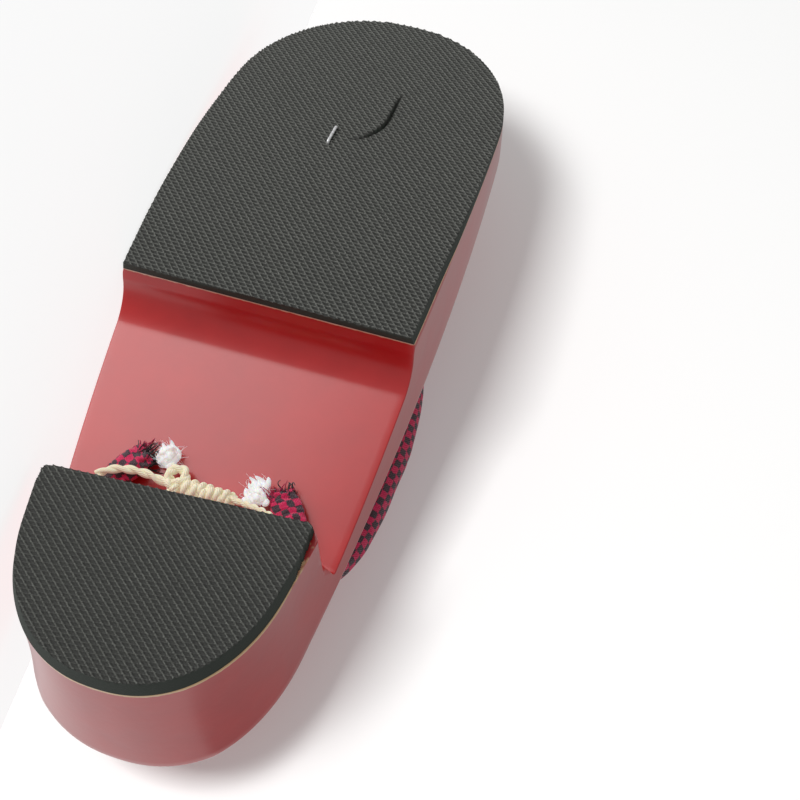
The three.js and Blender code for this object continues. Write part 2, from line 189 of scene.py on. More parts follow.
def joinOrCut(piece, tool, operation):
    change = piece.modifiers.new("shape", "BOOLEAN")
    change.operation = operation
    change.solver = "MANIFOLD"
    change.object = tool
    bpy.context.view_layer.update()
    shaped = piece.evaluated_get(bpy.context.evaluated_depsgraph_get())
    mesh = bpy.data.meshes.new_from_object(shaped)
    piece.modifiers.clear()
    old = piece.data
    piece.data = mesh
    mesh.name = piece.name
    bpy.data.meshes.remove(old)
    bpy.data.objects.remove(tool)
    return piece


def ready(piece, node):
    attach(piece, "root")
    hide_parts(node)
    return piece


def markPoints(mesh, name, values):
    mark = mesh.attributes.new(name, "FLOAT", "POINT")
    mark.data.foreach_set("value", values.astype(np.float32))


def readTriples(items, key):
    values = np.empty(len(items) * 3)
    items.foreach_get(key, values)
    return values.reshape(-1, 3)


def shadeSmooth(mesh, degrees):
    mesh.polygons.foreach_set("use_smooth", np.ones(len(mesh.polygons), bool))
    mesh.set_sharp_from_angle(angle=math.radians(degrees))


def add(tree, kind, values=None, settings=None):
    made = tree.nodes.new(kind)
    for key, value in (settings or {}).items():
        setattr(made, key, value)
    for key, value in (values or {}).items():
        made.inputs[key].default_value = value
    return made


def newMaterial(name, **values):
    material = bpy.data.materials.new(name)
    material.use_nodes = True
    tree = material.node_tree
    shader = tree.nodes["Principled BSDF"]
    for key, value in values.items():
        shader.inputs[key].default_value = value
    return material, tree, shader


def newGroup(name, inputs, outputs):
    tree = bpy.data.node_groups.new(name, "ShaderNodeTree")
    for key, value in inputs.items():
        tree.interface.new_socket(key, in_out="INPUT", socket_type="NodeSocketFloat").default_value = value
    for key in outputs:
        tree.interface.new_socket(key, in_out="OUTPUT", socket_type="NodeSocketFloat")
    return tree, tree.nodes.new("NodeGroupInput"), tree.nodes.new("NodeGroupOutput")


def useGroup(tree, group, **values):
    made = tree.nodes.new("ShaderNodeGroup")
    made.node_tree = group
    for key, value in values.items():
        made.inputs[key].default_value = value
    return made


def mapRange(tree, source, low, high, toLow=0.0, toHigh=1.0):
    made = add(tree, "ShaderNodeMapRange", {
        "From Min": low, "From Max": high, "To Min": toLow, "To Max": toHigh})
    tree.links.new(source, made.inputs["Value"])
    return made.outputs["Result"]


def mixColour(tree, factor, a, b, blend="MIX"):
    made = tree.nodes.new("ShaderNodeMix")
    made.data_type = "RGBA"
    made.blend_type = blend
    for socket, value in ((made.inputs[0], factor), (made.inputs[6], a), (made.inputs[7], b)):
        if hasattr(value, "is_output"):
            tree.links.new(value, socket)
        elif isinstance(value, (int, float)):
            socket.default_value = value
        else:
            socket.default_value = (*value, 1)
    return made.outputs[2]


def calc(tree, operation, a, b=0.0):
    made = add(tree, "ShaderNodeMath", None, {"operation": operation})
    for k, value in enumerate((a, b)):
        if hasattr(value, "is_output"):
            tree.links.new(value, made.inputs[k])
        else:
            made.inputs[k].default_value = value
    return made.outputs[0]


def finish(tree, shader, colour, height, relief, roughness=None):
    # relief is the bump's strength and distance in metres
    bump = add(tree, "ShaderNodeBump", dict(zip(("Strength", "Distance"), relief)))
    tree.links.new(height, bump.inputs["Height"])
    tree.links.new(bump.outputs["Normal"], shader.inputs["Normal"])
    tree.links.new(colour, shader.inputs["Base Color"])
    if roughness is not None:
        tree.links.new(roughness, shader.inputs["Roughness"])


def onUv(tree, kind, values=None, settings=None):
    # a texture that reads the piece's own UV map
    made = add(tree, kind, values, settings)
    uv = tree.nodes.new("ShaderNodeUVMap")
    tree.links.new(uv.outputs["UV"], made.inputs["Vector"])
    return made


def mottleGroup():
    # soft cloudy variation and fine grain, each from 0 to 1, on the piece's own place
    tree, inside, out = newGroup("mottle", {"Size": 60.0, "Grain": 900.0}, ("Cloud", "Fine"))
    place = tree.nodes.new("ShaderNodeTexCoord")
    for key, name, detail in (("Size", "Cloud", 4.0), ("Grain", "Fine", 2.0)):
        noise = add(tree, "ShaderNodeTexNoise", {"Detail": detail, "Roughness": 0.6})
        tree.links.new(place.outputs["Object"], noise.inputs["Vector"])
        tree.links.new(inside.outputs[key], noise.inputs["Scale"])
        tree.links.new(noise.outputs["Fac"], out.inputs[name])
    return tree


def weaveGroup():
    # plain weave on the UV map, whose unit is a millimetre: the warp's ridges are |sin(pi threads x)|^0.6,
    # the weft's the same of y, and the higher of the two shows
    tree, inside, out = newGroup("plainWeave", {"Threads": 2.2}, ("Height",))
    uv = tree.nodes.new("ShaderNodeUVMap")
    split = tree.nodes.new("ShaderNodeSeparateXYZ")
    tree.links.new(uv.outputs["UV"], split.inputs[0])
    waves = []
    for key in ("X", "Y"):
        threads = calc(tree, "MULTIPLY", split.outputs[key], inside.outputs["Threads"])
        waves.append(calc(tree, "SINE", calc(tree, "MULTIPLY", threads, math.pi)))
    warp, weft = (calc(tree, "POWER", calc(tree, "ABSOLUTE", wave), 0.6) for wave in waves)
    # where the two sines have one sign the warp has its full height and the weft half; elsewhere the other
    # way round
    over = calc(tree, "GREATER_THAN", calc(tree, "MULTIPLY", *waves), 0.0)
    half = calc(tree, "MULTIPLY", over, 0.5)
    warpTop = calc(tree, "MULTIPLY", warp, calc(tree, "ADD", half, 0.5))
    weftTop = calc(tree, "MULTIPLY", weft, calc(tree, "SUBTRACT", 1.0, half))
    tree.links.new(calc(tree, "MAXIMUM", warpTop, weftTop), out.inputs["Height"])
    return tree


mottle = mottleGroup()
weave = weaveGroup()

lacquerLook = {
    "deep": (0.44, 0.006, 0.0075), "warm": (0.54, 0.01, 0.0105), "worn": (0.74, 0.47, 0.24),
    "primer": (0.62, 0.33, 0.29), "roughness": (0.3, 0.42), "coatRoughness": 0.28, "coatIor": 1.6,
    "specular": 0.15, "cloud": 38.0, "grain": 1400.0, "chip": 520.0,
    # how much of the noise is added to each mark, and between which sums the mark's colour fades in
    "marks": {"worn": (0.6, 0.98, 1.12), "primer": (0.5, 1.0, 1.25)},
    "ripple": (0.4, 0.001), "rippleGrain": 0.03,
}


def lacquerMaterial():
    look = lacquerLook
    material, tree, shader = newMaterial("lacqueredWood", **{
        "Coat Weight": 1.0, "Coat Roughness": look["coatRoughness"], "Coat IOR": look["coatIor"],
        "Specular IOR Level": look["specular"]})
    cloud = useGroup(tree, mottle, Size=look["cloud"], Grain=look["grain"])
    colour = mixColour(tree, mapRange(tree, cloud.outputs["Cloud"], 0.3, 0.7), look["deep"], look["warm"])
    broken = add(tree, "ShaderNodeTexNoise", {"Scale": look["chip"], "Detail": 3.0})
    place = tree.nodes.new("ShaderNodeTexCoord")
    tree.links.new(place.outputs["Object"], broken.inputs["Vector"])
    # bare wood and primer where the coats end at the rubber, broken up by the noise
    for key, (share, low, high) in look["marks"].items():
        mark = add(tree, "ShaderNodeAttribute", None, {"attribute_name": key})
        ragged = calc(tree, "ADD", mark.outputs["Fac"], calc(tree, "MULTIPLY", broken.outputs["Fac"], share))
        colour = mixColour(tree, mapRange(tree, ragged, low, high), colour, look[key])
    grain = calc(tree, "MULTIPLY", cloud.outputs["Fine"], look["rippleGrain"])
    finish(tree, shader, colour, calc(tree, "ADD", cloud.outputs["Cloud"], grain), look["ripple"],
           mapRange(tree, cloud.outputs["Cloud"], 0.2, 0.8, *look["roughness"]))
    return material


rubberLook = {
    # cell is the rubber's own colour; ridge is a painted highlight: the net's crests are painted lighter, as
    # if lit
    "cell": (0.027, 0.028, 0.0245), "ridge": (0.142, 0.146, 0.133), "ridgeHighlightFrom": (0.3, 1.0),
    "side": (0.034, 0.043, 0.034), "sideDark": 0.8, "treadPores": (0.55, 1.6), "cutPores": (0.85, 1.15),
    "specular": 0.4, "roughness": (0.55, 0.8), "cloud": 55.0, "grain": 2600.0, "bump": (0.5, 0.0002),
}


def rubberMaterial(name, treaded):
    look = rubberLook
    material, tree, shader = newMaterial(name, **{"Specular IOR Level": look["specular"]})
    cloud = useGroup(tree, mottle, Size=look["cloud"], Grain=look["grain"])
    if treaded:
        # painted highlight: the ridge mark lightens the crests of the net towards the ridge colour
        ridge = add(tree, "ShaderNodeAttribute", None, {"attribute_name": "ridge"})
        raised = mapRange(tree, ridge.outputs["Fac"], *look["ridgeHighlightFrom"])
        colour = mixColour(tree, raised, look["cell"], look["ridge"])
    else:
        dark = tuple(look["sideDark"] * v for v in look["side"])
        colour = mixColour(tree, cloud.outputs["Cloud"], look["side"], dark)
    # the sponge's pores lighten and darken the colour
    pores = mapRange(tree, cloud.outputs["Fine"], 0.38, 0.66, *look["treadPores" if treaded else "cutPores"])
    grey = tree.nodes.new("ShaderNodeCombineXYZ")
    for k in range(3):
        tree.links.new(pores, grey.inputs[k])
    colour = mixColour(tree, 1.0, colour, grey.outputs[0], "MULTIPLY")
    finish(tree, shader, colour, cloud.outputs["Fine"], look["bump"],
           mapRange(tree, cloud.outputs["Fine"], 0.3, 0.7, *look["roughness"]))
    return material


clothLook = {
    # block is the side of the check's squares in millimetres; threads are counted a millimetre
    "crimson": (0.92, 0.012, 0.13), "dark": (0.05, 0.036, 0.048), "block": 2.1, "threads": 2.55,
    # gap is painted shade: the colour darkens towards it between the threads
    "gap": (0.05, 0.006, 0.018), "gapShare": 0.35,
    "fuzz": (0.4, 0.06, 0.12), "fuzzShare": 0.25, "fuzzScale": 5.0, "fuzzHeight": 0.4,
    "wobble": {"Scale": 1.3, "Detail": 5.0, "Roughness": 0.75}, "shift": (1.5, 1.5, 0),
    "bump": (0.9, 0.0003),
}


def clothMaterial():
    look = clothLook
    material, tree, shader = newMaterial("checkCloth", **{
        "Roughness": 0.85, "Sheen Weight": 0.35, "Sheen Roughness": 0.5, "Specular IOR Level": 0.2})
    threads = useGroup(tree, weave, Threads=look["threads"])
    wobble = onUv(tree, "ShaderNodeTexNoise", look["wobble"])
    fuzz = onUv(tree, "ShaderNodeTexNoise", {"Scale": look["fuzzScale"], "Detail": 4.0})
    # the check's blocks wander a little: the UV map plus the noise times the shift
    uv = tree.nodes.new("ShaderNodeUVMap")
    shifted = add(tree, "ShaderNodeVectorMath", None, {"operation": "MULTIPLY_ADD"})
    tree.links.new(wobble.outputs["Color"], shifted.inputs[0])
    shifted.inputs[1].default_value = look["shift"]
    tree.links.new(uv.outputs["UV"], shifted.inputs[2])
    check = add(tree, "ShaderNodeTexChecker", {
        "Scale": 1 / look["block"], "Color1": (1, 1, 1, 1), "Color2": (0, 0, 0, 1)})
    tree.links.new(shifted.outputs[0], check.inputs["Vector"])
    colour = mixColour(tree, check.outputs["Fac"], look["dark"], look["crimson"])
    # painted shade between the threads: the colour darkens towards the gap colour where the weave is low
    low = mapRange(tree, threads.outputs["Height"], 0.62, 0.35)
    colour = mixColour(tree, calc(tree, "MULTIPLY", low, look["gapShare"]), colour, look["gap"])
    haze = mapRange(tree, fuzz.outputs["Fac"], 0.4, 0.8, 0.0, look["fuzzShare"])
    colour = mixColour(tree, haze, colour, look["fuzz"])
    nap = calc(tree, "MULTIPLY", fuzz.outputs["Fac"], look["fuzzHeight"])
    finish(tree, shader, colour, calc(tree, "ADD", threads.outputs["Height"], nap), look["bump"])
    return material


cottonLook = {
    # the glow is painted: the cord gives off faint warm light of its own; the darker colour is painted shade
    # along the strands, mixed with random tone
    "cord": (0.98, 0.94, 0.73), "cordShade": (0.88, 0.76, 0.4), "cordPaintedGlow": (1, 0.92, 0.72, 1),
    "strands": {"Scale": 0.9, "Distortion": 1.2, "Detail": 2.0, "Detail Scale": 2.0},
    "cloudShare": 0.7, "strandShare": 0.4, "cordBump": (0.7, 0.00025),
    "wad": (0.97, 0.96, 0.95), "wadDark": (0.88, 0.87, 0.86), "wadBump": (0.9, 0.0004),
}


def cordMaterial():
    look = cottonLook
    # painted glow: the cord's emission makes it brighter than its lighting alone
    material, tree, shader = newMaterial("twistedCord", **{
        "Roughness": 0.75, "Sheen Weight": 0.3, "Specular IOR Level": 0.3, "Subsurface Weight": 0.15,
        "Subsurface Scale": 0.001, "Emission Color": look["cordPaintedGlow"], "Emission Strength": 0.13})
    cloud = useGroup(tree, mottle, Size=260.0, Grain=2600.0)
    strands = onUv(tree, "ShaderNodeTexWave", look["strands"], {
        "wave_type": "BANDS", "bands_direction": "DIAGONAL"})
    # painted shade between the fibres along the strands' bands, with the cloud's random tone: both darken
    # towards the darker cord colour
    shade = calc(tree, "ADD", calc(tree, "MULTIPLY", cloud.outputs["Cloud"], look["cloudShare"]),
                 calc(tree, "MULTIPLY", strands.outputs["Fac"], look["strandShare"]))
    colour = mixColour(tree, mapRange(tree, shade, 0.2, 0.6), look["cordShade"], look["cord"])
    height = calc(tree, "ADD", strands.outputs["Fac"], calc(tree, "MULTIPLY", cloud.outputs["Fine"], 0.6))
    finish(tree, shader, colour, height, look["cordBump"])
    return material


def wadMaterial():
    look = cottonLook
    # painted glow: the wadding gives off a little white light of its own, to stay bright where its leaves
    # shade each other
    material, tree, shader = newMaterial("cottonWadding", **{
        "Roughness": 0.95, "Sheen Weight": 0.5, "Specular IOR Level": 0.1, "Subsurface Weight": 0.5,
        "Subsurface Scale": 0.002, "Emission Color": (1, 1, 1, 1), "Emission Strength": 0.22})
    cloud = useGroup(tree, mottle, Size=500.0, Grain=3200.0)
    colour = mixColour(tree, mapRange(tree, cloud.outputs["Cloud"], 0.3, 0.7), look["wadDark"], look["wad"])
    finish(tree, shader, colour, cloud.outputs["Fine"], look["wadBump"])
    return material


threadLook = {
    "crimson": (0.5, 0.008, 0.075), "dark": (0.03, 0.024, 0.028), "shaded": 0.55, "bump": (0.4, 0.0001),
}


def threadMaterial(name, colour):
    material, tree, shader = newMaterial(name, **{
        "Roughness": 0.85, "Sheen Weight": 0.3, "Specular IOR Level": 0.2})
    cloud = useGroup(tree, mottle, Size=400.0, Grain=3000.0)
    shaded = tuple(threadLook["shaded"] * v for v in colour)
    mottled = mixColour(tree, cloud.outputs["Cloud"], shaded, colour)
    finish(tree, shader, mottled, cloud.outputs["Fine"], threadLook["bump"])
    return material


wireLook = {
    "grey": (0.8, 0.8, 0.81), "bright": (0.96, 0.96, 0.97), "roughness": (0.18, 0.38), "bump": (0.15, 0.0001),
}


def wireMaterial():
    look = wireLook
    material, tree, shader = newMaterial("steelWire", **{"Metallic": 0.6})
    cloud = useGroup(tree, mottle, Size=300.0, Grain=2500.0)
    colour = mixColour(tree, cloud.outputs["Cloud"], look["grey"], look["bright"])
    finish(tree, shader, colour, cloud.outputs["Fine"], look["bump"],
           mapRange(tree, cloud.outputs["Fine"], 0.3, 0.7, *look["roughness"]))
    return material


lacquer = lacquerMaterial()
treadRubber = rubberMaterial("treadRubber", True)
cutRubber = rubberMaterial("cutRubber", False)
checkCloth = clothMaterial()
twistedCotton = cordMaterial()
whiteCotton = wadMaterial()
crimsonThread = threadMaterial("crimsonThread", threadLook["crimson"])
darkThread = threadMaterial("darkThread", threadLook["dark"])
steel = wireMaterial()
print("materials made")


sole = {
    "length": 235.0, "halfWidth": (28.4, 41.9, 36.8), "heelRound": (33.6, 2.29), "toeRound": (42.0, 2.18),
    "footbed": (43.8, 28.6, 32.2), "edgeRadius": 2.2,
    "flareSheet": (1.1, 0.7), "flareTop": (4.8, -1.0), "flarePower": 1.9,
    "leanReach": 37.0, "leanSheet": 1.4, "leanTop": 6.9,
    "springStart": 128.3, "springRise": 19.0, "springPower": 1.49,
    "heelSheet": 4.4, "frontSheet": 2.9, "heelEnd": 51.1, "frontStart": 112.0, "skew": 0.065,
    "archHeel": 27.3, "archBall": 13.2, "faceLean": 1.5, "filletDrop": 4.4, "filletRun": 1.6,
    "ballFillet": 102.5, "ballBend": (109.3, 12.8), "ballFace": (110.7, 6.1), "cornerRadius": 0.3,
    "softHeel": 0.5, "softFront": 0.2,
    # the half width from which the wall's flare, and the rounding of its lower edge, have their full size
    "flareFull": 20, "cornerFull": 6,
    # y on the footbed's edge above the profile's corners: the heel block's lower edge from and to, its face's
    # top, the fillet's end, the ball's fillet, the ball's face, the front sheet's edge from and to
    "edgeAbove": (44, 44.6, 49.4, 51.6, 103.5, 113, 116.4, 117),
    # height and radius of the rounding, from the ground up
    "blockCorner": ((-2.0, 2.8), (4.4, 3.8), (21.0, 4.6), (24.6, 0.2)),
    "rearHole": (27.2, 57.5, 4.4), "frontHole": (0.0, 186.0, 5.1),
    # steps beneath, round the corner, up the wall, round the edge and across the top
    "counts": (44, 4, 30, 6, 34),
}


def alongSole(values, y):
    # a parabola through the values at the heel, the middle and the toe
    t = y / sole["length"]
    return values[0] * (1 - t) * (1 - 2 * t) + values[1] * 4 * t * (1 - t) + values[2] * t * (2 * t - 1)


def roundOff(distance, shape):
    # a superellipse quarter: (1 - (1 - d / length) ^ power) ^ (1 / power)
    length, power = shape
    return (1 - np.clip(1 - distance / length, 0, 1) ** power) ** (1 / power)


def soleHalfWidth(y):
    return alongSole(sole["halfWidth"], y) * roundOff(y, sole["heelRound"]) * roundOff(
        sole["length"] - y, sole["toeRound"])


def footbedHeight(y):
    return alongSole(sole["footbed"], y)


def treadHeight(y):
    share = np.clip((y - sole["springStart"]) / (sole["length"] - sole["springStart"]), 0, 1)
    return sole["springRise"] * share ** sole["springPower"]


def wallShare(y, z, atSheet, atTop, power=1.0):
    # grows evenly up to the top of the heel sheet, then by a power of the height up to the footbed
    low = atSheet * np.clip(z, 0, None) / sole["heelSheet"]
    rise = np.clip((z - sole["heelSheet"]) / (footbedHeight(y) - sole["heelSheet"]), 0, None)
    high = atSheet + (atTop - atSheet) * rise ** power
    return np.where(z <= sole["heelSheet"], low, high)


def wallX(y, z):
    # half the sole's width at this height: the tread's outline plus the wall's flare
    along = y / sole["length"]
    atSheet = sole["flareSheet"][0] + (sole["flareSheet"][1] - sole["flareSheet"][0]) * along
    atTop = sole["flareTop"][0] + (sole["flareTop"][1] - sole["flareTop"][0]) * along
    half = soleHalfWidth(y)
    flare = wallShare(y, z, atSheet, atTop, sole["flarePower"])
    return half + flare * np.clip(half / sole["flareFull"], 0, 1)


def wallBack(y, z):
    # how far the heel's back leans out
    return wallShare(y, z, sole["leanSheet"], sole["leanTop"]) * np.clip(1 - y / sole["leanReach"], 0, 1)


def skewOf(y):
    # the slant of lines across the sole: all of it at the heel block's front, none at the ball and the back
    share = np.clip((sole["frontStart"] - y) / (sole["frontStart"] - sole["heelEnd"]), 0, 1)
    return sole["skew"] * share * np.clip(y / sole["heelEnd"], 0, 1)


def ringLoft(low, top, topZ, cornerRadius, edgeRadius, counts):
    # Closed rings across the sole, one for each point (y, z) of the underside's profile low and each label
    # y in top. A ring runs under the sole from left to right, round the corner, up the wall to topZ, round
    # the edge, back across the top and down the left wall. The walls are x = wallX(y, z).
    under, corner, wall, edge, over = counts
    y0, z0 = low[:, 0], low[:, 1]
    run = unit(np.gradient(low, axis=0))
    normal = np.stack([-run[:, 1], run[:, 0]], -1)

    def sideOf(side):
        y = y0.copy()
        for _ in range(8):
            x = side * wallX(y, z0)
            y = np.clip(y0 - skewOf(y0) * x, 0, sole["length"])
        radius = cornerRadius * np.clip(np.abs(x) / sole["cornerFull"], 0, 1)
        corner0 = np.stack([x, y - wallBack(y, z0), z0], -1)
        yStart = np.clip(y + radius * normal[:, 0], 0, sole["length"])
        zStart = z0 + radius * normal[:, 1]
        zTop = topZ(top) - edgeRadius
        v = np.linspace(0, 1, wall)[None, :] ** 1.5  # closer together by the sheet
        yWall = yStart[:, None] + (top - yStart)[:, None] * v
        zWall = zStart[:, None] + (zTop - zStart)[:, None] * v
        walls = np.stack([side * wallX(yWall, zWall), yWall - wallBack(yWall, zWall), zWall], -1)
        inner = corner0 - np.stack([side * radius, 0 * radius, 0 * radius], -1)
        t = np.linspace(0, 1, corner + 1)[:-1][None, :, None]
        bend = (1 - t) ** 2 * inner[:, None] + 2 * t * (1 - t) * corner0[:, None] + t ** 2 * walls[:, :1]
        last = walls[:, -1]
        tangent = np.gradient(last[:, :2], axis=0)
        tangent[0] = (side, 0) if y0[0] < 1 else tangent[0]
        tangent[-1] = (-side, 0) if y0[-1] > sole["length"] - 1 else tangent[-1]
        tangent = unit(tangent)
        inward = np.stack([-side * tangent[:, 1], side * tangent[:, 0], 0 * y0], -1)
        angle = np.radians(np.linspace(0, 90, edge + 1)[1:])[None, :, None]
        rise = np.array([0, 0, 1.0])
        arcs = (last[:, None] + inward[:, None] * edgeRadius * (1 - np.cos(angle))
                + rise * edgeRadius * np.sin(angle))
        return np.concatenate([bend, walls, arcs] if edgeRadius > 0 else [bend, walls], 1)

    right, left = sideOf(1), sideOf(-1)
    t = np.linspace(0, 1, under + 1)[:-1][None, 1:, None]
    beneath = left[:, :1] + (right[:, :1] - left[:, :1]) * t
    t = np.linspace(0, 1, over + 1)[:-1][None, 1:, None]
    above = right[:, -1:] + (left[:, -1:] - right[:, -1:]) * t
    return np.concatenate([beneath, right, above, left[:, ::-1]], 1)


def easedSteps(a, b, count, easeStart=False, easeEnd=False):
    # steps from a to b, finer where the outline turns round the heel or the toe
    t = np.linspace(0, 1, count)
    if easeStart:
        t = 1 - np.cos(t * math.pi / 2)
    if easeEnd:
        t = np.sin(t * math.pi / 2)
    return a + (b - a) * t


def curveTo(start, control, end, count):
    # a quadratic curve: (1 - t)^2 start + 2 t (1 - t) control + t^2 end, without its start
    t = np.linspace(0, 1, count)[1:, None]
    return (1 - t) ** 2 * np.array(start) + 2 * t * (1 - t) * np.array(control) + t ** 2 * np.array(end)


def ceilingHeight(y):
    share = (y - sole["heelEnd"]) / (sole["frontStart"] - sole["heelEnd"])
    return sole["archHeel"] + (sole["archBall"] - sole["archHeel"]) * share


def woodProfile():
    # the underside from heel to toe as (y, z), with the label y of the footbed's edge above each point
    s = sole
    faceTop = (s["heelEnd"] - s["faceLean"], s["archHeel"] - s["filletDrop"])
    filletEnd = faceTop[0] + s["filletRun"]
    soft, small = s["softHeel"], s["softFront"]
    heelEdge, heelFace, faceHigh, ceilingStart, filletLabel, ballLabel, sheetEdge, sheetStart = s["edgeAbove"]
    parts, tops = [], []

    def put(points, topFrom, topTo):
        parts.append(np.asarray(points, float))
        tops.append(np.linspace(topFrom, topTo, len(points) + 1)[1:])

    y = easedSteps(0, s["heelEnd"] - soft, 46, easeStart=True)
    parts.append(np.stack([y, np.full_like(y, s["heelSheet"])], -1))
    tops.append(y * heelEdge / (s["heelEnd"] - soft))
    put(curveTo((s["heelEnd"] - soft, s["heelSheet"]), (s["heelEnd"], s["heelSheet"]),
                (s["heelEnd"], s["heelSheet"] + soft), 4), heelEdge, heelFace)
    t = np.linspace(0, 1, 24)[1:]
    put(np.stack([s["heelEnd"] - s["faceLean"] * t,
                  s["heelSheet"] + soft + (faceTop[1] - s["heelSheet"] - soft) * t], -1), heelFace, faceHigh)
    put(curveTo(faceTop, (faceTop[0], ceilingHeight(faceTop[0])), (filletEnd, ceilingHeight(filletEnd)), 9),
        faceHigh, ceilingStart)
    y = np.linspace(filletEnd, s["ballFillet"], 50)[1:]
    put(np.stack([y, ceilingHeight(y)], -1), ceilingStart, filletLabel)
    fillet = (s["ballFillet"], ceilingHeight(s["ballFillet"]))
    put(curveTo(fillet, s["ballBend"], s["ballFace"], 20), filletLabel, ballLabel)
    t = np.linspace(0, 1, 9)[1:]
    ballY, ballZ = s["ballFace"]
    put(np.stack([ballY + (s["frontStart"] - ballY) * t,
                  ballZ + (s["frontSheet"] + small - ballZ) * t], -1), ballLabel, sheetEdge)
    put(curveTo((s["frontStart"], s["frontSheet"] + small), (s["frontStart"], s["frontSheet"]),
                (s["frontStart"] + small, s["frontSheet"]), 4), sheetEdge, sheetStart)
    y = easedSteps(s["frontStart"] + small, s["length"], 92, easeEnd=True)[1:]
    parts.append(np.stack([y, treadHeight(y) + s["frontSheet"]], -1))
    ahead = (s["length"] - y) * (s["length"] - sheetStart) / (s["length"] - s["frontStart"] - small)
    tops.append(s["length"] - ahead)
    return np.vstack(parts), np.concatenate(tops)


def loftPiece(name, rings, material, capStart=False, capEnd=False):
    count, sides = rings.shape[:2]
    faces = gridFaces(count, sides).tolist()
    if capStart:
        faces.append(list(range(sides))[::-1])
    if capEnd:
        faces.append([(count - 1) * sides + k for k in range(sides)])
    return outward(newPiece(name, rings.reshape(-1, 3), faces, material))


bore = {
    # how far above the lower or the upper mouth, and how much wider than the hole itself
    "low": [(-6, 0.5), (-0.4, 0.4), (0, 0.25), (0.35, 0.1), (1.0, 0)],
    "high": [(-1.0, 0), (-0.35, 0.3), (0, 0.75), (0.4, 1.1), (8, 1.4)],
    "sides": 40,
}


def boredTool(x, y, radius, lowZ, highZ):
    # a lathe profile that widens at both mouths
    profile = [(lowZ + up, radius + wider) for up, wider in bore["low"]]
    profile += [(highZ + up, radius + wider) for up, wider in bore["high"]]
    z, r = np.array(profile).T[:, :, None]
    angle = np.linspace(0, 2 * math.pi, bore["sides"] + 1)[:-1]
    points, faces = capped(np.stack([x + r * np.cos(angle), y + r * np.sin(angle), z + 0 * angle], -1))
    return outward(newPiece("bore", points, faces, None))


def cornerTool(side):
    # what lies outside the heel block's rounded front corner: a quarter circle in plan at each height, and
    # from there well past the wood
    past = 6
    z = np.linspace(sole["blockCorner"][0][0], sole["blockCorner"][-1][0], 40)
    radius = np.interp(z, *np.array(sole["blockCorner"]).T)
    lean = sole["faceLean"] * np.clip((z - sole["heelSheet"]) / (sole["archHeel"] - sole["heelSheet"]), 0, 1)
    wall = wallX(np.array(sole["heelEnd"]), np.clip(z, 0, None))
    face = sole["heelEnd"] - lean - side * sole["skew"] * wall
    angle = np.linspace(0, math.pi / 2, 16)
    x = wall[:, None] - radius[:, None] * (1 - np.cos(angle))
    y = face[:, None] - radius[:, None] * (1 - np.sin(angle))
    x = np.concatenate([wall[:, None] + past, wall[:, None] + past, x, x[:, -1:]], 1)
    y = np.concatenate([face[:, None] + past, y[:, :1], y, face[:, None] + past], 1)
    rings = np.stack([side * x, y, np.broadcast_to(z[:, None], x.shape)], -1)
    count, sides = x.shape
    faces = gridFaces(count, sides).tolist()
    last = (count - 1) * sides
    for k in range(1, sides - 1):
        faces += [[0, k, k + 1], [last, last + k + 1, last + k]]
    return outward(newPiece("corner", rings.reshape(-1, 3), faces, None))


wornEdge = {
    # y, and how worn the wood is above the heel sheet
    "fadeAt": (0, 28, 50), "fade": (1.15, 1.0, 0.66),
    # widths of the worn lines over the two sheets, and of the primer along the front one's rear edge
    "heelWidth": 1.1, "frontWidth": 0.75, "rearWidth": 0.8, "frontShare": 0.95, "sharpFrom": 35,
}


def makeDai():
    low, top = woodProfile()
    rings = ringLoft(low, top, footbedHeight, sole["cornerRadius"], sole["edgeRadius"], sole["counts"])
    piece = loftPiece("daiWood", rings, lacquer)
    x, y, radius = sole["rearHole"]
    for side in (1, -1):
        piece = joinOrCut(piece, cornerTool(side), "DIFFERENCE")
        tool = boredTool(side * x, y, radius, ceilingHeight(y), footbedHeight(y))
        piece = joinOrCut(piece, tool, "DIFFERENCE")
    x, y, radius = sole["frontHole"]
    tool = boredTool(x, y, radius, treadHeight(y) + sole["frontSheet"], footbedHeight(y))
    piece = joinOrCut(piece, tool, "DIFFERENCE")
    mesh = piece.data
    _, y, z = standUp(readTriples(mesh.vertices, "co")).T
    # bare wood close above both sheets, and primer along the rear edge of the front one: each mark falls off
    # from the line as exp(-(distance / width)^2)
    w = wornEdge
    fade = np.interp(y, w["fadeAt"], w["fade"])
    heelLine = fade * np.exp(-((z - sole["heelSheet"]) / w["heelWidth"]) ** 2) * (y < sole["heelEnd"] + 0.4)
    sheetTop = treadHeight(y) + sole["frontSheet"]
    frontLine = np.exp(-((z - sheetTop) / w["frontWidth"]) ** 2) * (y > sole["frontStart"] - 1)
    rear = np.exp(-((y - sole["frontStart"]) / w["rearWidth"]) ** 2)
    markPoints(mesh, "worn", heelLine + frontLine * w["frontShare"])
    markPoints(mesh, "primer", frontLine * rear)
    shadeSmooth(mesh, w["sharpFrom"])
    return ready(piece, "dai")


dai = makeDai()
print("wooden sole", len(dai.data.polygons))


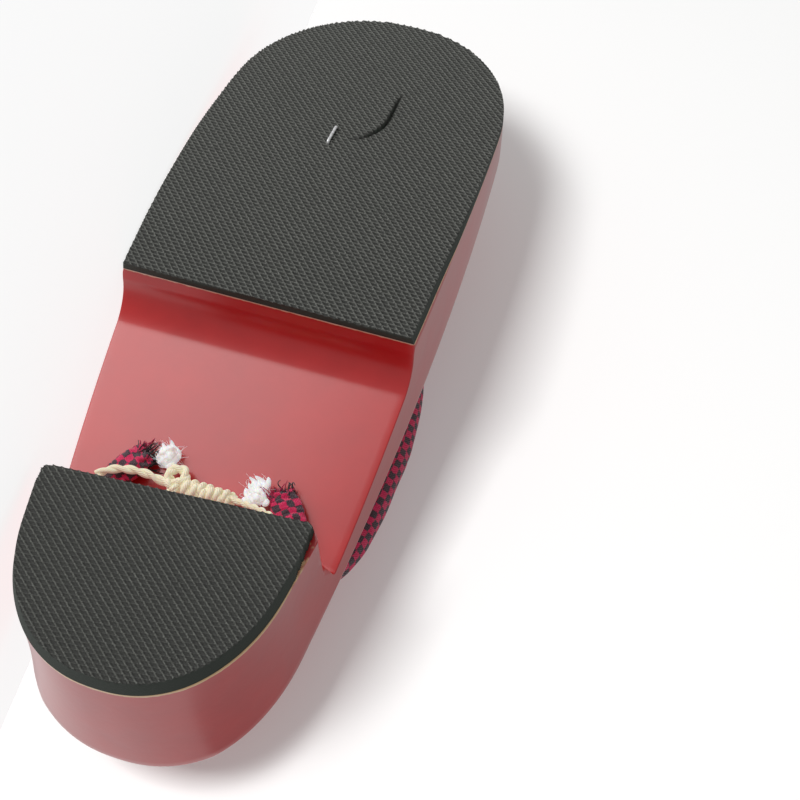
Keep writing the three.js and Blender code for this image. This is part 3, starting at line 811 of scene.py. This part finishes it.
tread = {
    # grid steps per ridge; the net's depth; half a ridge's width, as a share of the pitch; its roundness; the
    # height of the heel's second family of ridges beside the first
    "step": 4, "height": 0.5, "ridge": 0.2, "crest": 0.8, "faint": 0.55,
    # phases per millimetre, to the left and towards the toe
    "heel": ((0.398, 0.495), (0.473, -0.408)), "front": ((0.449, 0.443), (0.429, -0.458)),
    "heelReach": (-36, 36, -6, 56), "frontReach": (-46, 46, 109, 238), "sunk": 1.5, "netDeep": 2.4,
    # the air between sheet and wood; rows along each blank and steps round it, as in the sole's counts
    "air": 0.02, "frontRows": 80, "heelRows": 60, "counts": (24, 2, 6, 1, 24),
    # the normal's height below which a face is the net's; how soon the cut clears the ridges' painted
    # highlight, and how far it takes the mark below the cells', as painted shade in the cut
    "facing": -0.45, "cutClearsHighlight": 1.6, "cutPaintedShade": 1.2,
    # the cut by the staple, as x and y along it
    "slit": [(-1, 175.6), (-3.3, 176.4), (-5, 177.9), (-6.5, 179.7), (-7.9, 182.1), (-8.8, 185),
             (-9.2, 187.7), (-9.1, 191.2), (-9, 194.7), (-8.9, 197.4), (-9.4, 200.6)],
    "slitSteps": 60, "slitDepth": 1.5, "slitWidth": 0.42,
    # the raised lip: its height, place, width and weaker outer side, and the circle that it bends round
    "lip": 0.35, "lipAway": 1.3, "lipWidth": 0.9, "outerLip": 0.3, "bendMiddle": (3, 190), "bendRadius": 13,
    "sharpFrom": 60,
}


def phaseTurn(front):
    # turns (x, y) into the two phases: how many ridges lie between the origin and the point
    a, b = tread["front" if front else "heel"]
    return np.array([[-a[0], a[1]], [-b[0], b[1]]])


def netHeight(phaseA, phaseB, front):
    # thin rounded ridges at each whole phaseA and each whole phaseB - phaseA, crossing as a net: the higher
    # of the two families; under the heel the second family is faint
    def ridge(phase):
        away = np.abs(phase - np.round(phase))
        return np.clip(1 - away / tread["ridge"], 0, 1) ** tread["crest"]

    return np.maximum(ridge(phaseA), ridge(phaseB - phaseA) * (1.0 if front else tread["faint"]))


def slitShape(x, y):
    # how deep the cut is here, and how far the lip beside it is raised, from the distance to the cut's line
    count = tread["slitSteps"]
    line, _, _ = smoothPath([(px, py, 0) for px, py in tread["slit"]], count)
    distance = np.hypot(x[:, None] - line[:, 0], y[:, None] - line[:, 1])
    away = distance.min(1)
    taper = np.sin(math.pi * distance.argmin(1) / (count - 1)) ** 0.6
    width = tread["slitWidth"] * (0.4 + 0.6 * taper)
    cut = np.exp(-(away / width) ** 2) * taper
    middleX, middleY = tread["bendMiddle"]
    inside = np.hypot(x - middleX, y - middleY) < tread["bendRadius"]
    lip = np.exp(-((away - tread["lipAway"]) / tread["lipWidth"]) ** 2) * taper
    return cut, lip * np.where(inside, 1.0, tread["outerLip"])


def sheetBlank(name, front):
    # the sheet before its tread is pressed, a little deeper than it will be
    s = sole
    if front:
        y = easedSteps(s["frontStart"], s["length"], tread["frontRows"], easeEnd=True)
        floor, thick = treadHeight, s["frontSheet"]
    else:
        y = easedSteps(0, s["heelEnd"], tread["heelRows"], easeStart=True)
        floor, thick = np.zeros_like, s["heelSheet"]
    low = np.stack([y, floor(y) - tread["sunk"]], -1)
    rings = ringLoft(low, y, lambda v: floor(v) + thick - tread["air"], 0, 0, tread["counts"])
    if not front:
        # the front edge keeps the slant of the block above it
        slant = skewOf(y)[:, None] * rings[:, :, 0]
        rings[:, :, 1] = y[:, None] - slant - wallBack(y[:, None], np.clip(rings[:, :, 2], 0, None))
    return loftPiece(name, rings, cutRubber, capStart=front, capEnd=not front)


def netSlab(front):
    # a tall block whose underside is the net, its grid turned to run with the ridges
    reach = tread["frontReach" if front else "heelReach"]
    toPhase = phaseTurn(front)
    corners = np.array([(reach[i], reach[j]) for i in (0, 1) for j in (2, 3)], float) @ toPhase.T
    first, last = np.floor(corners.min(0)), np.ceil(corners.max(0))
    counts = ((last - first) * tread["step"]).astype(int) + 1
    phases = (np.linspace(first[k], last[k], counts[k]) for k in (0, 1))
    pa, pb = np.meshgrid(*phases, indexing="ij")
    flat = np.stack([pa, pb], -1).reshape(-1, 2) @ np.linalg.inv(toPhase).T
    x, yy = flat[:, 0], flat[:, 1]
    height = netHeight(pa.ravel(), pb.ravel(), front)
    z = treadHeight(yy) + tread["height"] * (1 - height)
    if front:
        cut, lip = slitShape(x, yy)
        z = z + tread["slitDepth"] * cut - tread["lip"] * lip
    keep = (x > reach[0]) & (x < reach[1]) & (yy > reach[2]) & (yy < reach[3])
    quads = gridFaces(counts[0], counts[1], wrap=False)
    quads = quads[keep[quads].all(1)]
    used, packed = np.unique(quads, return_inverse=True)
    quads = packed.reshape(-1, 4)
    points = np.stack([x, yy, z], -1)[used]
    # side walls from the open rim up to a lid
    edges = np.concatenate([quads[:, [k, (k + 1) % 4]] for k in range(4)])
    forward = edges[:, 0].astype(np.int64) * len(points) + edges[:, 1]
    backward = edges[:, 1].astype(np.int64) * len(points) + edges[:, 0]
    rim = edges[~np.isin(forward, backward)]
    rimUsed, rimPacked = np.unique(rim, return_inverse=True)
    lifted = points[rimUsed].copy()
    lifted[:, 2] = 60  # above all of the sole
    rimHigh = rimPacked.reshape(-1, 2) + len(points)
    walls = np.stack([rim[:, 1], rim[:, 0], rimHigh[:, 0], rimHigh[:, 1]], -1)
    # the lid is a fan about its middle
    middle = len(points) + len(lifted)
    lid = np.stack([rimHigh[:, 1], rimHigh[:, 0], np.full(len(rim), middle)], -1)
    points = np.vstack([points, lifted, lifted.mean(0)])
    return outward(newPiece("net", points, quads.tolist() + walls.tolist() + lid.tolist(), treadRubber))


def rubberSheet(name, node, front):
    piece = joinOrCut(sheetBlank(name, front), netSlab(front), "INTERSECT")
    if not front:
        piece = joinOrCut(joinOrCut(piece, cornerTool(1), "DIFFERENCE"), cornerTool(-1), "DIFFERENCE")
    mesh = piece.data
    flat = standUp(readTriples(mesh.vertices, "co"))[:, :2]
    # the ridge mark is the net's height, used as a painted highlight on its crests; the heel's faint second
    # family gets less of it
    ridge = netHeight(*(flat @ phaseTurn(front).T).T, front)
    if front:
        cut, _ = slitShape(*flat.T)
        # the cut loses the ridges' painted highlight and its mark sinks below the cells', as painted shade
        ridge = ridge * (1 - np.clip(tread["cutClearsHighlight"] * cut, 0, 1)) - tread["cutPaintedShade"] * cut
    markPoints(mesh, "ridge", ridge)
    # faces of the net, which look down, take the treaded rubber, and all others the plain cut one
    down = (readTriples(mesh.polygons, "normal") @ laidTurn.T)[:, 2] < tread["facing"]
    _, y, z = standUp(readTriples(mesh.polygons, "center")).T
    under = down & (z < treadHeight(y) + tread["netDeep"])
    mesh.materials.clear()
    mesh.materials.append(cutRubber)
    mesh.materials.append(treadRubber)
    mesh.polygons.foreach_set("material_index", under.astype(np.int32))
    shadeSmooth(mesh, tread["sharpFrom"])
    return ready(piece, node)


heelSheet = rubberSheet("heelSheetRubber", "heel_rubber", False)
print("heel sheet", len(heelSheet.data.polygons))
frontSheet = rubberSheet("frontSheetRubber", "front_rubber", True)
print("front sheet", len(frontSheet.data.polygons))


strap = {
    "rows": [  # x, y, z, wide, thick, tilt: the right arm from its hole to the front
        (26.9, 57.4, 29.2, 6.9, 6.9, 0), (27.4, 57.6, 35, 7.2, 7.2, 0), (33.4, 60, 41.9, 11.5, 9, 62),
        (36, 70.9, 44.5, 14.5, 10, 60), (36.4, 86, 45.4, 16.5, 10.5, 54), (35.8, 103, 47.7, 17, 10.5, 48),
        (32.6, 121, 50, 17, 10.5, 42), (26.4, 138, 51.5, 16.5, 10.5, 36), (18.2, 154, 51.2, 15.5, 10, 34),
        (9, 167.5, 49.2, 14, 9.5, 36), (-0.5, 175, 47.4, 12.5, 9, 40)],
    "steps": 260, "sides": 64, "power": 2.5, "pucker": 0.32, "seam": 0.5,
}


crumple = {
    # waves round the section: how many, their depth, and how much deeper where the tube is narrowest
    "waves": 5, "wavy": 0.12, "wavyNarrow": 1.6,
    # creases across the tube: how many, their depth, and half their width as a share of the length
    "creases": 7, "creased": 0.5, "creaseWidth": 0.006,
    "seamWidth": 0.07,  # half the seam's width in radians
}


def clothTube(rows, steps, sides, power=2.0, upward=(0, 0, 1), mirror=False, pucker=0.0, seam=0.0, seed=0):
    # A tube whose section is a superellipse with these widths: (|cos|^(2/power), |sin|^(2/power)).
    # Puckers are waves round the section, strongest where the tube narrows, and narrow creases across it;
    # the seam is a thin groove.
    rows = np.array(rows, float)
    if mirror:
        rows[:, 0] *= -1
        rows[:, 5] *= -1
    path, marks, length = smoothPath(rows[:, :3], steps)
    wide, thick, tilt = (alongRows(marks, rows[:, k], steps) for k in (3, 4, 5))
    _, across, over = pathFrame(path, upward, tilt)
    angle = np.linspace(0, 2 * math.pi, sides + 1)
    c, s = np.cos(angle), np.sin(angle)
    cc, ss = np.sign(c) * np.abs(c) ** (2 / power), np.sign(s) * np.abs(s) ** (2 / power)
    u = np.linspace(0, 1, steps)[:, None]
    draw = np.random.default_rng(seed)
    swell = np.zeros((steps, sides + 1))
    if pucker:
        squeeze = np.clip(1 - wide / wide.max(), 0, 1)[:, None]
        depth = pucker * (crumple["wavy"] + crumple["wavyNarrow"] * squeeze)
        for k in range(crumple["waves"]):
            n, p, q = draw.integers(3, 9), draw.uniform(0, 6.3), draw.uniform(2, 9)
            swell += depth * np.sin(n * angle + p + 1.5 * np.sin(q * u * 6)) / 2.2
        for k in range(crumple["creases"]):
            place, slant, phase = draw.uniform(0.1, 0.95), draw.uniform(-0.03, 0.03), draw.uniform(0, 6.3)
            away = (u - place - slant * np.sin(angle + phase)) / crumple["creaseWidth"]
            swell -= pucker * crumple["creased"] * np.exp(-away ** 2) * (0.5 + 0.5 * np.cos(angle + phase))
    if seam:
        around = np.abs((angle - 1.5 * math.pi + math.pi) % (2 * math.pi) - math.pi)
        swell -= seam * np.exp(-(around / crumple["seamWidth"]) ** 2)
    halfWide, halfThick = wide[:, None] / 2 + swell, thick[:, None] / 2 + swell
    widePart = across[:, None] * (halfWide * cc)[..., None]
    points = path[:, None] + widePart + over[:, None] * (halfThick * ss)[..., None]
    ring = np.linalg.norm(np.diff(points, axis=1), axis=2)
    around = np.concatenate([np.zeros((steps, 1)), np.cumsum(ring, 1)], 1)
    around = around - around[:, -1:] / 2
    uv = np.stack([np.broadcast_to(u * length, around.shape), around], -1)
    return points, uv


def tubePiece(name, points, uv, material):
    # one column of points more than sides, so that the pattern has its own seam; each end closes in a point
    columns = points.shape[1]
    start = np.broadcast_to(points[0].mean(0), (1, columns, 3))
    stop = np.broadcast_to(points[-1].mean(0), (1, columns, 3))
    between = 0.55
    first = start + (points[:1] - start) * between
    last = stop + (points[-1:] - stop) * between
    rings = np.concatenate([start, first, points, last, stop])
    uvs = np.concatenate([uv[:1], uv[:1], uv, uv[-1:], uv[-1:]])
    faces = gridFaces(len(rings), columns, wrap=False)
    return newPiece(name, rings.reshape(-1, 3), faces, material, uvs.reshape(-1, 2))


def joinPieces(name, pieces):
    with bpy.context.temp_override(active_object=pieces[0], selected_editable_objects=pieces):
        bpy.ops.object.join()
    pieces[0].name = name
    pieces[0].data.name = name
    return pieces[0]


arms = []
for left in (False, True):
    points, uv = clothTube(strap["rows"], strap["steps"], strap["sides"], strap["power"], mirror=left,
                           pucker=strap["pucker"], seam=strap["seam"], seed=3 + left)
    arms.append(outward(tubePiece("arm", points, uv, checkCloth)))
hanao = ready(joinPieces("hanaoStrap", arms), "hanao")
print("strap", len(hanao.data.polygons))

loop = {
    # y and z along the sole's middle: up from the hole, over the strap and back
    "route": [(188.5, 14), (188.5, 26), (188.2, 34), (186, 41), (182.8, 47), (180.8, 51.8), (176.6, 56),
              (170.5, 56.8), (165.4, 54.2), (164, 49.5), (165.6, 44.4), (170, 40.6), (176, 38.4), (181, 35.4),
              (183.4, 30), (183.5, 22), (183.5, 14)],
    "wide": 4.4, "steps": 260, "sides": 40, "pucker": 0.5, "seam": 0.2,
}
rows = [(0, y, z, loop["wide"], loop["wide"], 0) for y, z in loop["route"]]
points, uv = clothTube(rows, loop["steps"], loop["sides"], upward=(1, 0, 0), pucker=loop["pucker"],
                       seam=loop["seam"], seed=8)
toeLoop = ready(outward(tubePiece("toeLoopCloth", points, uv, checkCloth)), "toe_loop")


ends = {
    # x, y, z, wide, thick, tilt: from the hole to the cut end
    "right": [(27.2, 57.5, 28.2, 7, 7, 0), (27.1, 57.8, 25.4, 7, 6.4, 0), (25.6, 59.8, 22.4, 7.8, 5, 0),
              (23, 63.4, 21.2, 8.4, 4.4, 0), (19.4, 68.2, 20.4, 6.6, 4, 0)],
    "left": [(-27.2, 57.5, 28.2, 7, 7, 0), (-27.1, 57.8, 25.4, 7, 6.4, 0), (-25.4, 60.2, 22.4, 7.8, 5, 0),
             (-22.4, 64, 21.6, 8.6, 4.4, 0), (-19.2, 67.8, 21, 7, 4, 0)],
    "steps": 90, "sides": 56, "power": 2.4, "pucker": 0.75, "fold": 0.3, "ragged": 0.4,
    "threads": 110, "threadWidth": 0.42, "threadLength": (0.8, 3.0), "tuft": 8,
}


def threadTubes(name, paths, radii, material, sides=5):
    # thin tubes along many short paths at once: paths is (threads, points, 3); radii gives the half width
    # and half thickness at each point, or one number for a thread that thins towards its tip
    count, steps = paths.shape[:2]
    if np.ndim(radii) == 0:
        thin = radii * (1 - 0.5 * np.linspace(0, 1, steps) ** 2)
        radii = np.broadcast_to(thin[None, :, None], (count, steps, 2))
    tangent = unit(np.gradient(paths, axis=1))
    helper = unit(np.array([0.31, 0.52, 0.79]))
    side = unit(np.cross(tangent, helper))
    other = np.cross(tangent, side)
    angle = np.linspace(0, 2 * math.pi, sides + 1)[:-1]
    wide = radii[:, :, None, :1] * np.cos(angle)[None, None, :, None]
    thick = radii[:, :, None, 1:] * np.sin(angle)[None, None, :, None]
    rings = paths[:, :, None] + side[:, :, None] * wide + other[:, :, None] * thick
    points = rings.reshape(-1, 3)
    one = gridFaces(steps, sides)
    lids = np.array([np.arange(sides)[::-1], np.arange(sides) + (steps - 1) * sides])
    offsets = np.arange(count)[:, None, None] * steps * sides
    faces = (one[None] + offsets).reshape(-1, 4).tolist() + (lids[None] + offsets).reshape(-1, sides).tolist()
    return newPiece(name, points, faces, material, np.zeros((len(points), 2)))


def frayedThreads(path, across, over, wide, thick, count, seed):
    # threads leave the cut end in tufts, in a loose order from one side to the other
    draw = np.random.default_rng(seed)
    end, forward = path[-1], unit(path[-1] - path[-8])
    place = draw.uniform(-1, 1, (count, 2)) * [wide / 2 * 0.95, thick / 2 * 0.8]
    place = place[np.argsort(place[:, 0] + draw.normal(0, 0.9, count))]
    root = end + place[:, :1] * across[-1] + place[:, 1:] * over[-1]
    root = root - forward * draw.uniform(0, 3.2, (count, 1))
    length = draw.uniform(*ends["threadLength"], (count, 1))
    tuft = np.repeat(draw.normal(0, 0.5, (count // ends["tuft"] + 1, 3)), ends["tuft"], axis=0)[:count]
    drift = tuft + draw.normal(0, 0.3, (count, 3))
    curl = draw.normal(0, 0.35, (count, 3))
    t = np.linspace(0, 1, 8)[None, :, None]
    way = forward * t + drift[:, None] * t ** 1.4 + curl[:, None] * np.sin(3 * t) * t
    return root[:, None] + length[:, None] * way


def strapEnd(name, node, rows, seed):
    rows = np.array(rows, float)
    upward = (-0.6 * np.sign(rows[0, 0]), 0.75, 1)
    steps = ends["steps"]
    points, uv = clothTube(rows, steps, ends["sides"], ends["power"], upward=upward, pucker=ends["pucker"],
                           seed=seed)
    draw = np.random.default_rng(seed)
    # folds run along the flattened end and the cut edge is ragged
    angle = np.linspace(0, 2 * math.pi, points.shape[1])
    flattened = np.clip(np.linspace(-0.6, 1, steps), 0, 1)[:, None]
    fold = ends["fold"] * np.sin(5 * angle + draw.uniform(0, 6)) * flattened
    middle = points.mean(1, keepdims=True)
    points = points + unit(points - middle) * fold[..., None]
    ragged = 0.7 * np.sin(9 * angle + seed) + 0.5 * np.sin(17 * angle)
    points[-1, :-1] += (points[-1, :-1] - points[-4, :-1]) * ends["ragged"] * ragged[:-1, None]
    points[:, -1] = points[:, 0]
    body = outward(tubePiece(name, points, uv, checkCloth))
    path, _, _ = smoothPath(rows[:, :3], steps)
    _, across, over = pathFrame(path, upward)
    paths = frayedThreads(path, across, over, rows[-1, 3], rows[-1, 4], ends["threads"], seed)
    half = ends["threads"] // 2
    dark = threadTubes(name + "Dark", paths[:half], ends["threadWidth"] / 2, darkThread)
    red = threadTubes(name + "Red", paths[half:], ends["threadWidth"] / 2, crimsonThread)
    return ready(joinPieces(name, [body, dark, red]), node)


strapEnd("strapEndRight", "strap_end_right", ends["right"], 21)
strapEnd("strapEndLeft", "strap_end_left", ends["left"], 34)
print("cloth ends")

wad = {
    # the foot of the tuft, its tip, and its half width
    "right": ((12.9, 66.3, 19.6), (14.6, 72.2, 20.2), 3.0),
    "left": ((-14.4, 63.2, 20.2), (-12.2, 69.2, 21.0), 2.9),
    "core": 0.72, "lump": 0.3, "coreGrid": (42, 60), "coreShape": (1, 1.1, 0.85),
    # count, spread, reach
    "leaves": (38, 0.36, (0.55, 0.95)), "wisps": (150, 0.45, (0.5, 1.05)),
    "leafWidth": (0.55, 1.2), "wispWidth": 0.09,
}


def waddingPiece(name, node, place, seed):
    # a small lumpy core, flat leaves of fibre that spread from the foot of the tuft, and fine wisps
    draw = np.random.default_rng(seed)
    foot, tip, half = np.array(place[0]), np.array(place[1]), place[2]
    way, length = unit(tip - foot), np.linalg.norm(tip - foot)
    rows, columns = wad["coreGrid"]
    lat, lon = np.meshgrid(np.linspace(0, math.pi, rows), np.linspace(0, 2 * math.pi, columns + 1)[:-1],
                           indexing="ij")
    ball = np.stack([np.sin(lat) * np.cos(lon), np.sin(lat) * np.sin(lon), np.cos(lat)], -1)
    radius = np.ones(lat.shape)
    for k in range(10):
        wave = draw.normal(0, 2.4 + 0.6 * k, 3)
        radius += wad["lump"] / (1.6 + 0.4 * k) * np.sin(ball @ wave + draw.uniform(0, 6.3))
    lump = ball * radius[..., None] * wad["core"] * half * np.array(wad["coreShape"])
    core = (foot + way * length * 0.45 + lump).reshape(-1, 3)
    faces = gridFaces(rows, columns)
    pieces = [outward(newPiece(name, core, faces, whiteCotton, np.zeros((len(core), 2))))]
    for label in ("leaves", "wisps"):
        count, spread, reach = wad[label]
        start = foot + draw.normal(0, 0.28 * half, (count, 3)) * [1, 0.6, 0.6]
        start += way * draw.uniform(0, 0.35, (count, 1)) * length
        aim = unit(way + draw.normal(0, spread, (count, 3)) * [1, 0.8, 0.45])
        bend = draw.normal(0, 0.22, (count, 1, 3))
        t = np.linspace(0, 1, 10)[None, :, None]
        run = draw.uniform(*reach, (count, 1, 1)) * length * 0.8
        sway = bend * np.sin(math.pi * t)
        paths = start[:, None] + run * (aim[:, None] * t + sway + bend[:, :, ::-1] * t ** 2)
        if label == "leaves":
            full = np.sin(math.pi * np.clip(t * 0.93 + 0.04, 0, 1)) ** 0.7
            radii = full * draw.uniform(*wad["leafWidth"], (count, 1, 1)) * np.array([1, 0.25])
        else:
            radii = wad["wispWidth"] / 2
        pieces.append(threadTubes(name, paths, radii, whiteCotton, sides=8 if label == "leaves" else 4))
    return ready(joinPieces(name, pieces), node)


waddingPiece("waddingRight", "wadding_right", wad["right"], 5)
waddingPiece("waddingLeft", "wadding_left", wad["left"], 6)
print("wadding")

tie = {
    # the two runs: the right one in to the knot, the left one out from the last turn
    "outer": [(28.8, 57, 17.6), (26.4, 59.2, 17.6), (23.2, 60.6, 17.7), (19.4, 61.4, 18), (15.4, 61.6, 18.7),
              (11.6, 61.2, 19.6), (8.6, 60.6, 19.8)],
    "inner": [(-6.8, 62.2, 20.2), (-11.5, 61.6, 19.7), (-15.9, 61, 18.9), (-20.4, 59.6, 18.1),
              (-25, 57.6, 17.6)],
    # a ply's radius, its distance from the cord's middle, the pitch of the twist
    "outerPly": (0.72, 0.52, 8.6), "innerPly": (0.52, 0.4, 5.0),
    "windFrom": (6.2, 61.3, 20.9), "windTo": (-8.2, 62.3, 20.9), "windRadii": (3.35, 2.5), "turns": 6,
    # half the cord's width as a share of the pitch, at the first turn and the last
    "windShare": (0.56, 0.44),
    # x, y, z, size, half the cord's width
    "knot": (8.5, 60.9, 19.6, 0.66, 1.0), "loop": (8.7, 64.0, 19.5, 2.3, 1.3),
    # a ply's radius and its distance from the middle, for a cord of half width 1; the twist's pitch
    "ply": (0.66, 0.42), "plyPitch": 6.5,
}


def roundTube(path, radius, sides, upward=(0, 0, 1)):
    # path + radius (cos a side + sin a other); the UV map's unit is a millimetre
    _, side, other = pathFrame(path, upward)
    angle = np.linspace(0, 2 * math.pi, sides + 1)
    radius = np.broadcast_to(radius, len(path))[:, None, None]
    outwards = side[:, None] * np.cos(angle)[:, None] + other[:, None] * np.sin(angle)[:, None]
    points = path[:, None] + radius * outwards
    uv = np.stack([np.broadcast_to(runAlong(path)[:, None], points.shape[:2]),
                   np.broadcast_to(angle * radius[:, 0], points.shape[:2])], -1)
    return points, uv


def pliedCord(path, ply, offset, pitch, upward=(0, 0, 1)):
    # each ply's middle runs round the path as a helix of this pitch: path + offset (cos a side + sin a other)
    _, side, other = pathFrame(path, upward)
    offset = np.broadcast_to(offset, len(path))[:, None]
    run = runAlong(path)
    made = []
    for k in (0, 1):
        angle = (run / pitch + k / 2) * 2 * math.pi
        middle = path + offset * (side * np.cos(angle)[:, None] + other * np.sin(angle)[:, None])
        made.append(outward(tubePiece("ply", *roundTube(middle, ply, 16, upward), twistedCotton)))
    return made


def pliedFor(path, thick, upward=(0, 0, 1)):
    ply, offset = tie["ply"]
    return pliedCord(path, thick * ply, thick * offset, tie["plyPitch"], upward)


def tieCordPiece():
    made = []
    for key in ("outer", "inner"):
        path, _, _ = smoothPath(tie[key], 150)
        made += pliedCord(path, *tie[key + "Ply"])
    # the turns: a helix that narrows about the line from windFrom to windTo
    a, b = np.array(tie["windFrom"]), np.array(tie["windTo"])
    axis = unit(b - a)
    p = unit(np.cross(axis, (0, 0, 1)))
    q = np.cross(axis, p)
    u = np.linspace(0, 1, 520)
    turn = 2 * math.pi * tie["turns"] * u
    thick = np.linalg.norm(b - a) / tie["turns"] * np.linspace(*tie["windShare"], len(u))
    radius = np.interp(u, [0, 1], tie["windRadii"]) - thick
    path = a + (b - a) * (0.04 + 0.92 * u[:, None]) + radius[:, None] * (
        p * np.cos(turn)[:, None] + q * np.sin(turn)[:, None])
    made += pliedFor(path, thick, tuple(axis))
    # the knot is a trefoil: x = sin t + 2 sin 2t, y = cos t - 2 cos 2t, z = -sin 3t
    x, y, z, size, thick = tie["knot"]
    t = np.linspace(0, 2 * math.pi, 260)
    path = np.stack([x + size * (np.sin(t) + 2 * np.sin(2 * t)), y + size * (np.cos(t) - 2 * np.cos(2 * t)),
                     z - 0.9 * np.sin(3 * t)], -1)
    made += pliedFor(path, thick)
    # the loop that stands up from it
    x, y, z, size, thick = tie["loop"]
    t = np.linspace(-0.3 * math.pi, 1.3 * math.pi, 150)
    path = np.stack([x + size * np.cos(t), y + size * np.sin(t), z + 0.4 * np.sin(t)], -1)
    made += pliedFor(path, thick)
    return ready(joinPieces("tieCord", made), "tie_cord")


tieCord = tieCordPiece()
print("tie cord", len(tieCord.data.polygons))

wire = {"x": 4.1, "y": 175.5, "crown": 8.0, "leg": 1.5, "width": 0.9, "proud": 0.9, "bend": 0.7, "sides": 12}


def staplePiece():
    # one wire bent twice, with a short quarter turn at each end of the crown
    w = wire
    radius, bend = w["width"] / 2, w["bend"]
    t = np.linspace(0, math.pi / 2, 9)
    leg = np.linspace(w["leg"] + w["proud"] - radius, bend, 8)[:-1]
    back = w["y"] - w["crown"] / 2 + radius
    front = w["y"] + w["crown"] / 2 - radius
    crown = np.linspace(back + bend, front - bend, 14)[1:-1]
    y = np.concatenate([np.full_like(leg, back), back + bend - bend * np.cos(t), crown,
                        front - bend + bend * np.sin(t), np.full_like(leg, front)])
    rise = np.concatenate([leg, bend - bend * np.sin(t), 0 * crown, bend - bend * np.cos(t), leg[::-1]])
    path = np.stack([np.full_like(y, w["x"]), y, treadHeight(y) - w["proud"] + radius + rise], -1)
    points, uv = roundTube(path, radius, w["sides"], (1, 0, 0))
    return ready(outward(tubePiece("stapleWire", points, uv, steel)), "staple")


staplePiece()
print("staple")


studio = {
    # metres; white is the base colour, glow the strength of the emission
    "size": 2.5, "wallY": 0.038, "floorWhite": (0.33, 0.33, 0.33), "wallWhite": (0.7, 0.7, 0.695),
    "floorGlow": 0.82, "wallGlow": 0.16, "world": 0.42, "worldSeen": 0.95,
    # each lamp: place, target, width, watts
    "key": ((-0.25, -0.94, -0.64), (0, 0, 0.04), 0.95, 10.0),
    "behind": ((0.75, 0.9, -0.35), (0, 0, 0.04), 2.1, 6.4),
    "cast": ((0.4, -1.3, -0.35), (0, 0.04, 0.05), 0.42, 20.5),
}


def stageMaterial(name, white, glow, oneSided):
    # pale matt sheet; a one-sided sheet is clear from behind
    material, tree, shader = newMaterial(name, **{
        "Roughness": 0.9, "Specular IOR Level": 0.1, "Emission Color": (1, 1, 1, 1),
        "Emission Strength": glow})
    cloud = useGroup(tree, mottle, Size=6.0, Grain=200.0)
    low = tuple(0.985 * v for v in white)
    tree.links.new(mixColour(tree, cloud.outputs["Cloud"], low, white), shader.inputs["Base Color"])
    if oneSided:
        geometry = tree.nodes.new("ShaderNodeNewGeometry")
        clear = tree.nodes.new("ShaderNodeBsdfTransparent")
        mix = tree.nodes.new("ShaderNodeMixShader")
        tree.links.new(geometry.outputs["Backfacing"], mix.inputs[0])
        tree.links.new(shader.outputs[0], mix.inputs[1])
        tree.links.new(clear.outputs[0], mix.inputs[2])
        tree.links.new(mix.outputs[0], tree.nodes["Material Output"].inputs["Surface"])
    return material


def makeStage():
    size, y = studio["size"], studio["wallY"]
    quad = np.array([[0, 1, 2, 3]])
    paleFloor = stageMaterial("paleFloor", studio["floorWhite"], studio["floorGlow"], False)
    paleWall = stageMaterial("paleWall", studio["wallWhite"], studio["wallGlow"], True)
    floor = newPiece("floor", [(-size, -size, 0), (size, -size, 0), (size, size, 0), (-size, size, 0)],
                     quad, paleFloor, standing=False)
    wall = newPiece("backdrop", [(-size, y, 0), (size, y, 0), (size, y, size), (-size, y, size)],
                    quad, paleWall, standing=False)
    for piece in (floor, wall):
        piece.visible_diffuse = False
        piece.visible_glossy = False
        piece.visible_transmission = False
    wall.visible_shadow = False
    return wall


def softBox(name, lit, blockers):
    # a square lamp that lights one collection, past everything that isn't in the other
    place, target, width, watts = studio[name]
    data = bpy.data.lights.new(name, "AREA")
    data.size, data.energy = width, watts
    lamp = bpy.data.objects.new(name, data)
    scene.collection.objects.link(lamp)
    way = Vector(target) - Vector(place)
    lamp.matrix_world = Matrix.Translation(place) @ way.to_track_quat("-Z", "Y").to_matrix().to_4x4()
    lamp.visible_camera = False
    lamp.light_linking.receiver_collection = lit
    lamp.light_linking.blocker_collection = blockers


def collected(name, members):
    made = bpy.data.collections.new(name)
    for member in members:
        made.objects.link(member)
    return made


def makeWorld():
    # white all round, brighter where the camera looks at it than where it lights the sandal
    world = bpy.data.worlds.new("studio")
    world.use_nodes = True
    tree = world.node_tree
    background = tree.nodes["Background"]
    background.inputs["Color"].default_value = (1, 1, 1, 1)
    lightPath = tree.nodes.new("ShaderNodeLightPath")
    seen = lightPath.outputs["Is Camera Ray"]
    strength = mapRange(tree, seen, 0.0, 1.0, studio["world"], studio["worldSeen"])
    tree.links.new(strength, background.inputs["Strength"])
    scene.world = world


shown = [piece for piece in scene.objects if piece.type == "MESH" and not piece.hide_render]
sandal = collected("sandal", shown)
backdrop = collected("wall", [makeStage()])
makeWorld()
softBox("key", sandal, sandal)
softBox("behind", sandal, sandal)
softBox("cast", backdrop, sandal)  # throws the sandal's soft shadow on the backdrop alone
scene.view_settings.view_transform = "Standard"
print("studio")
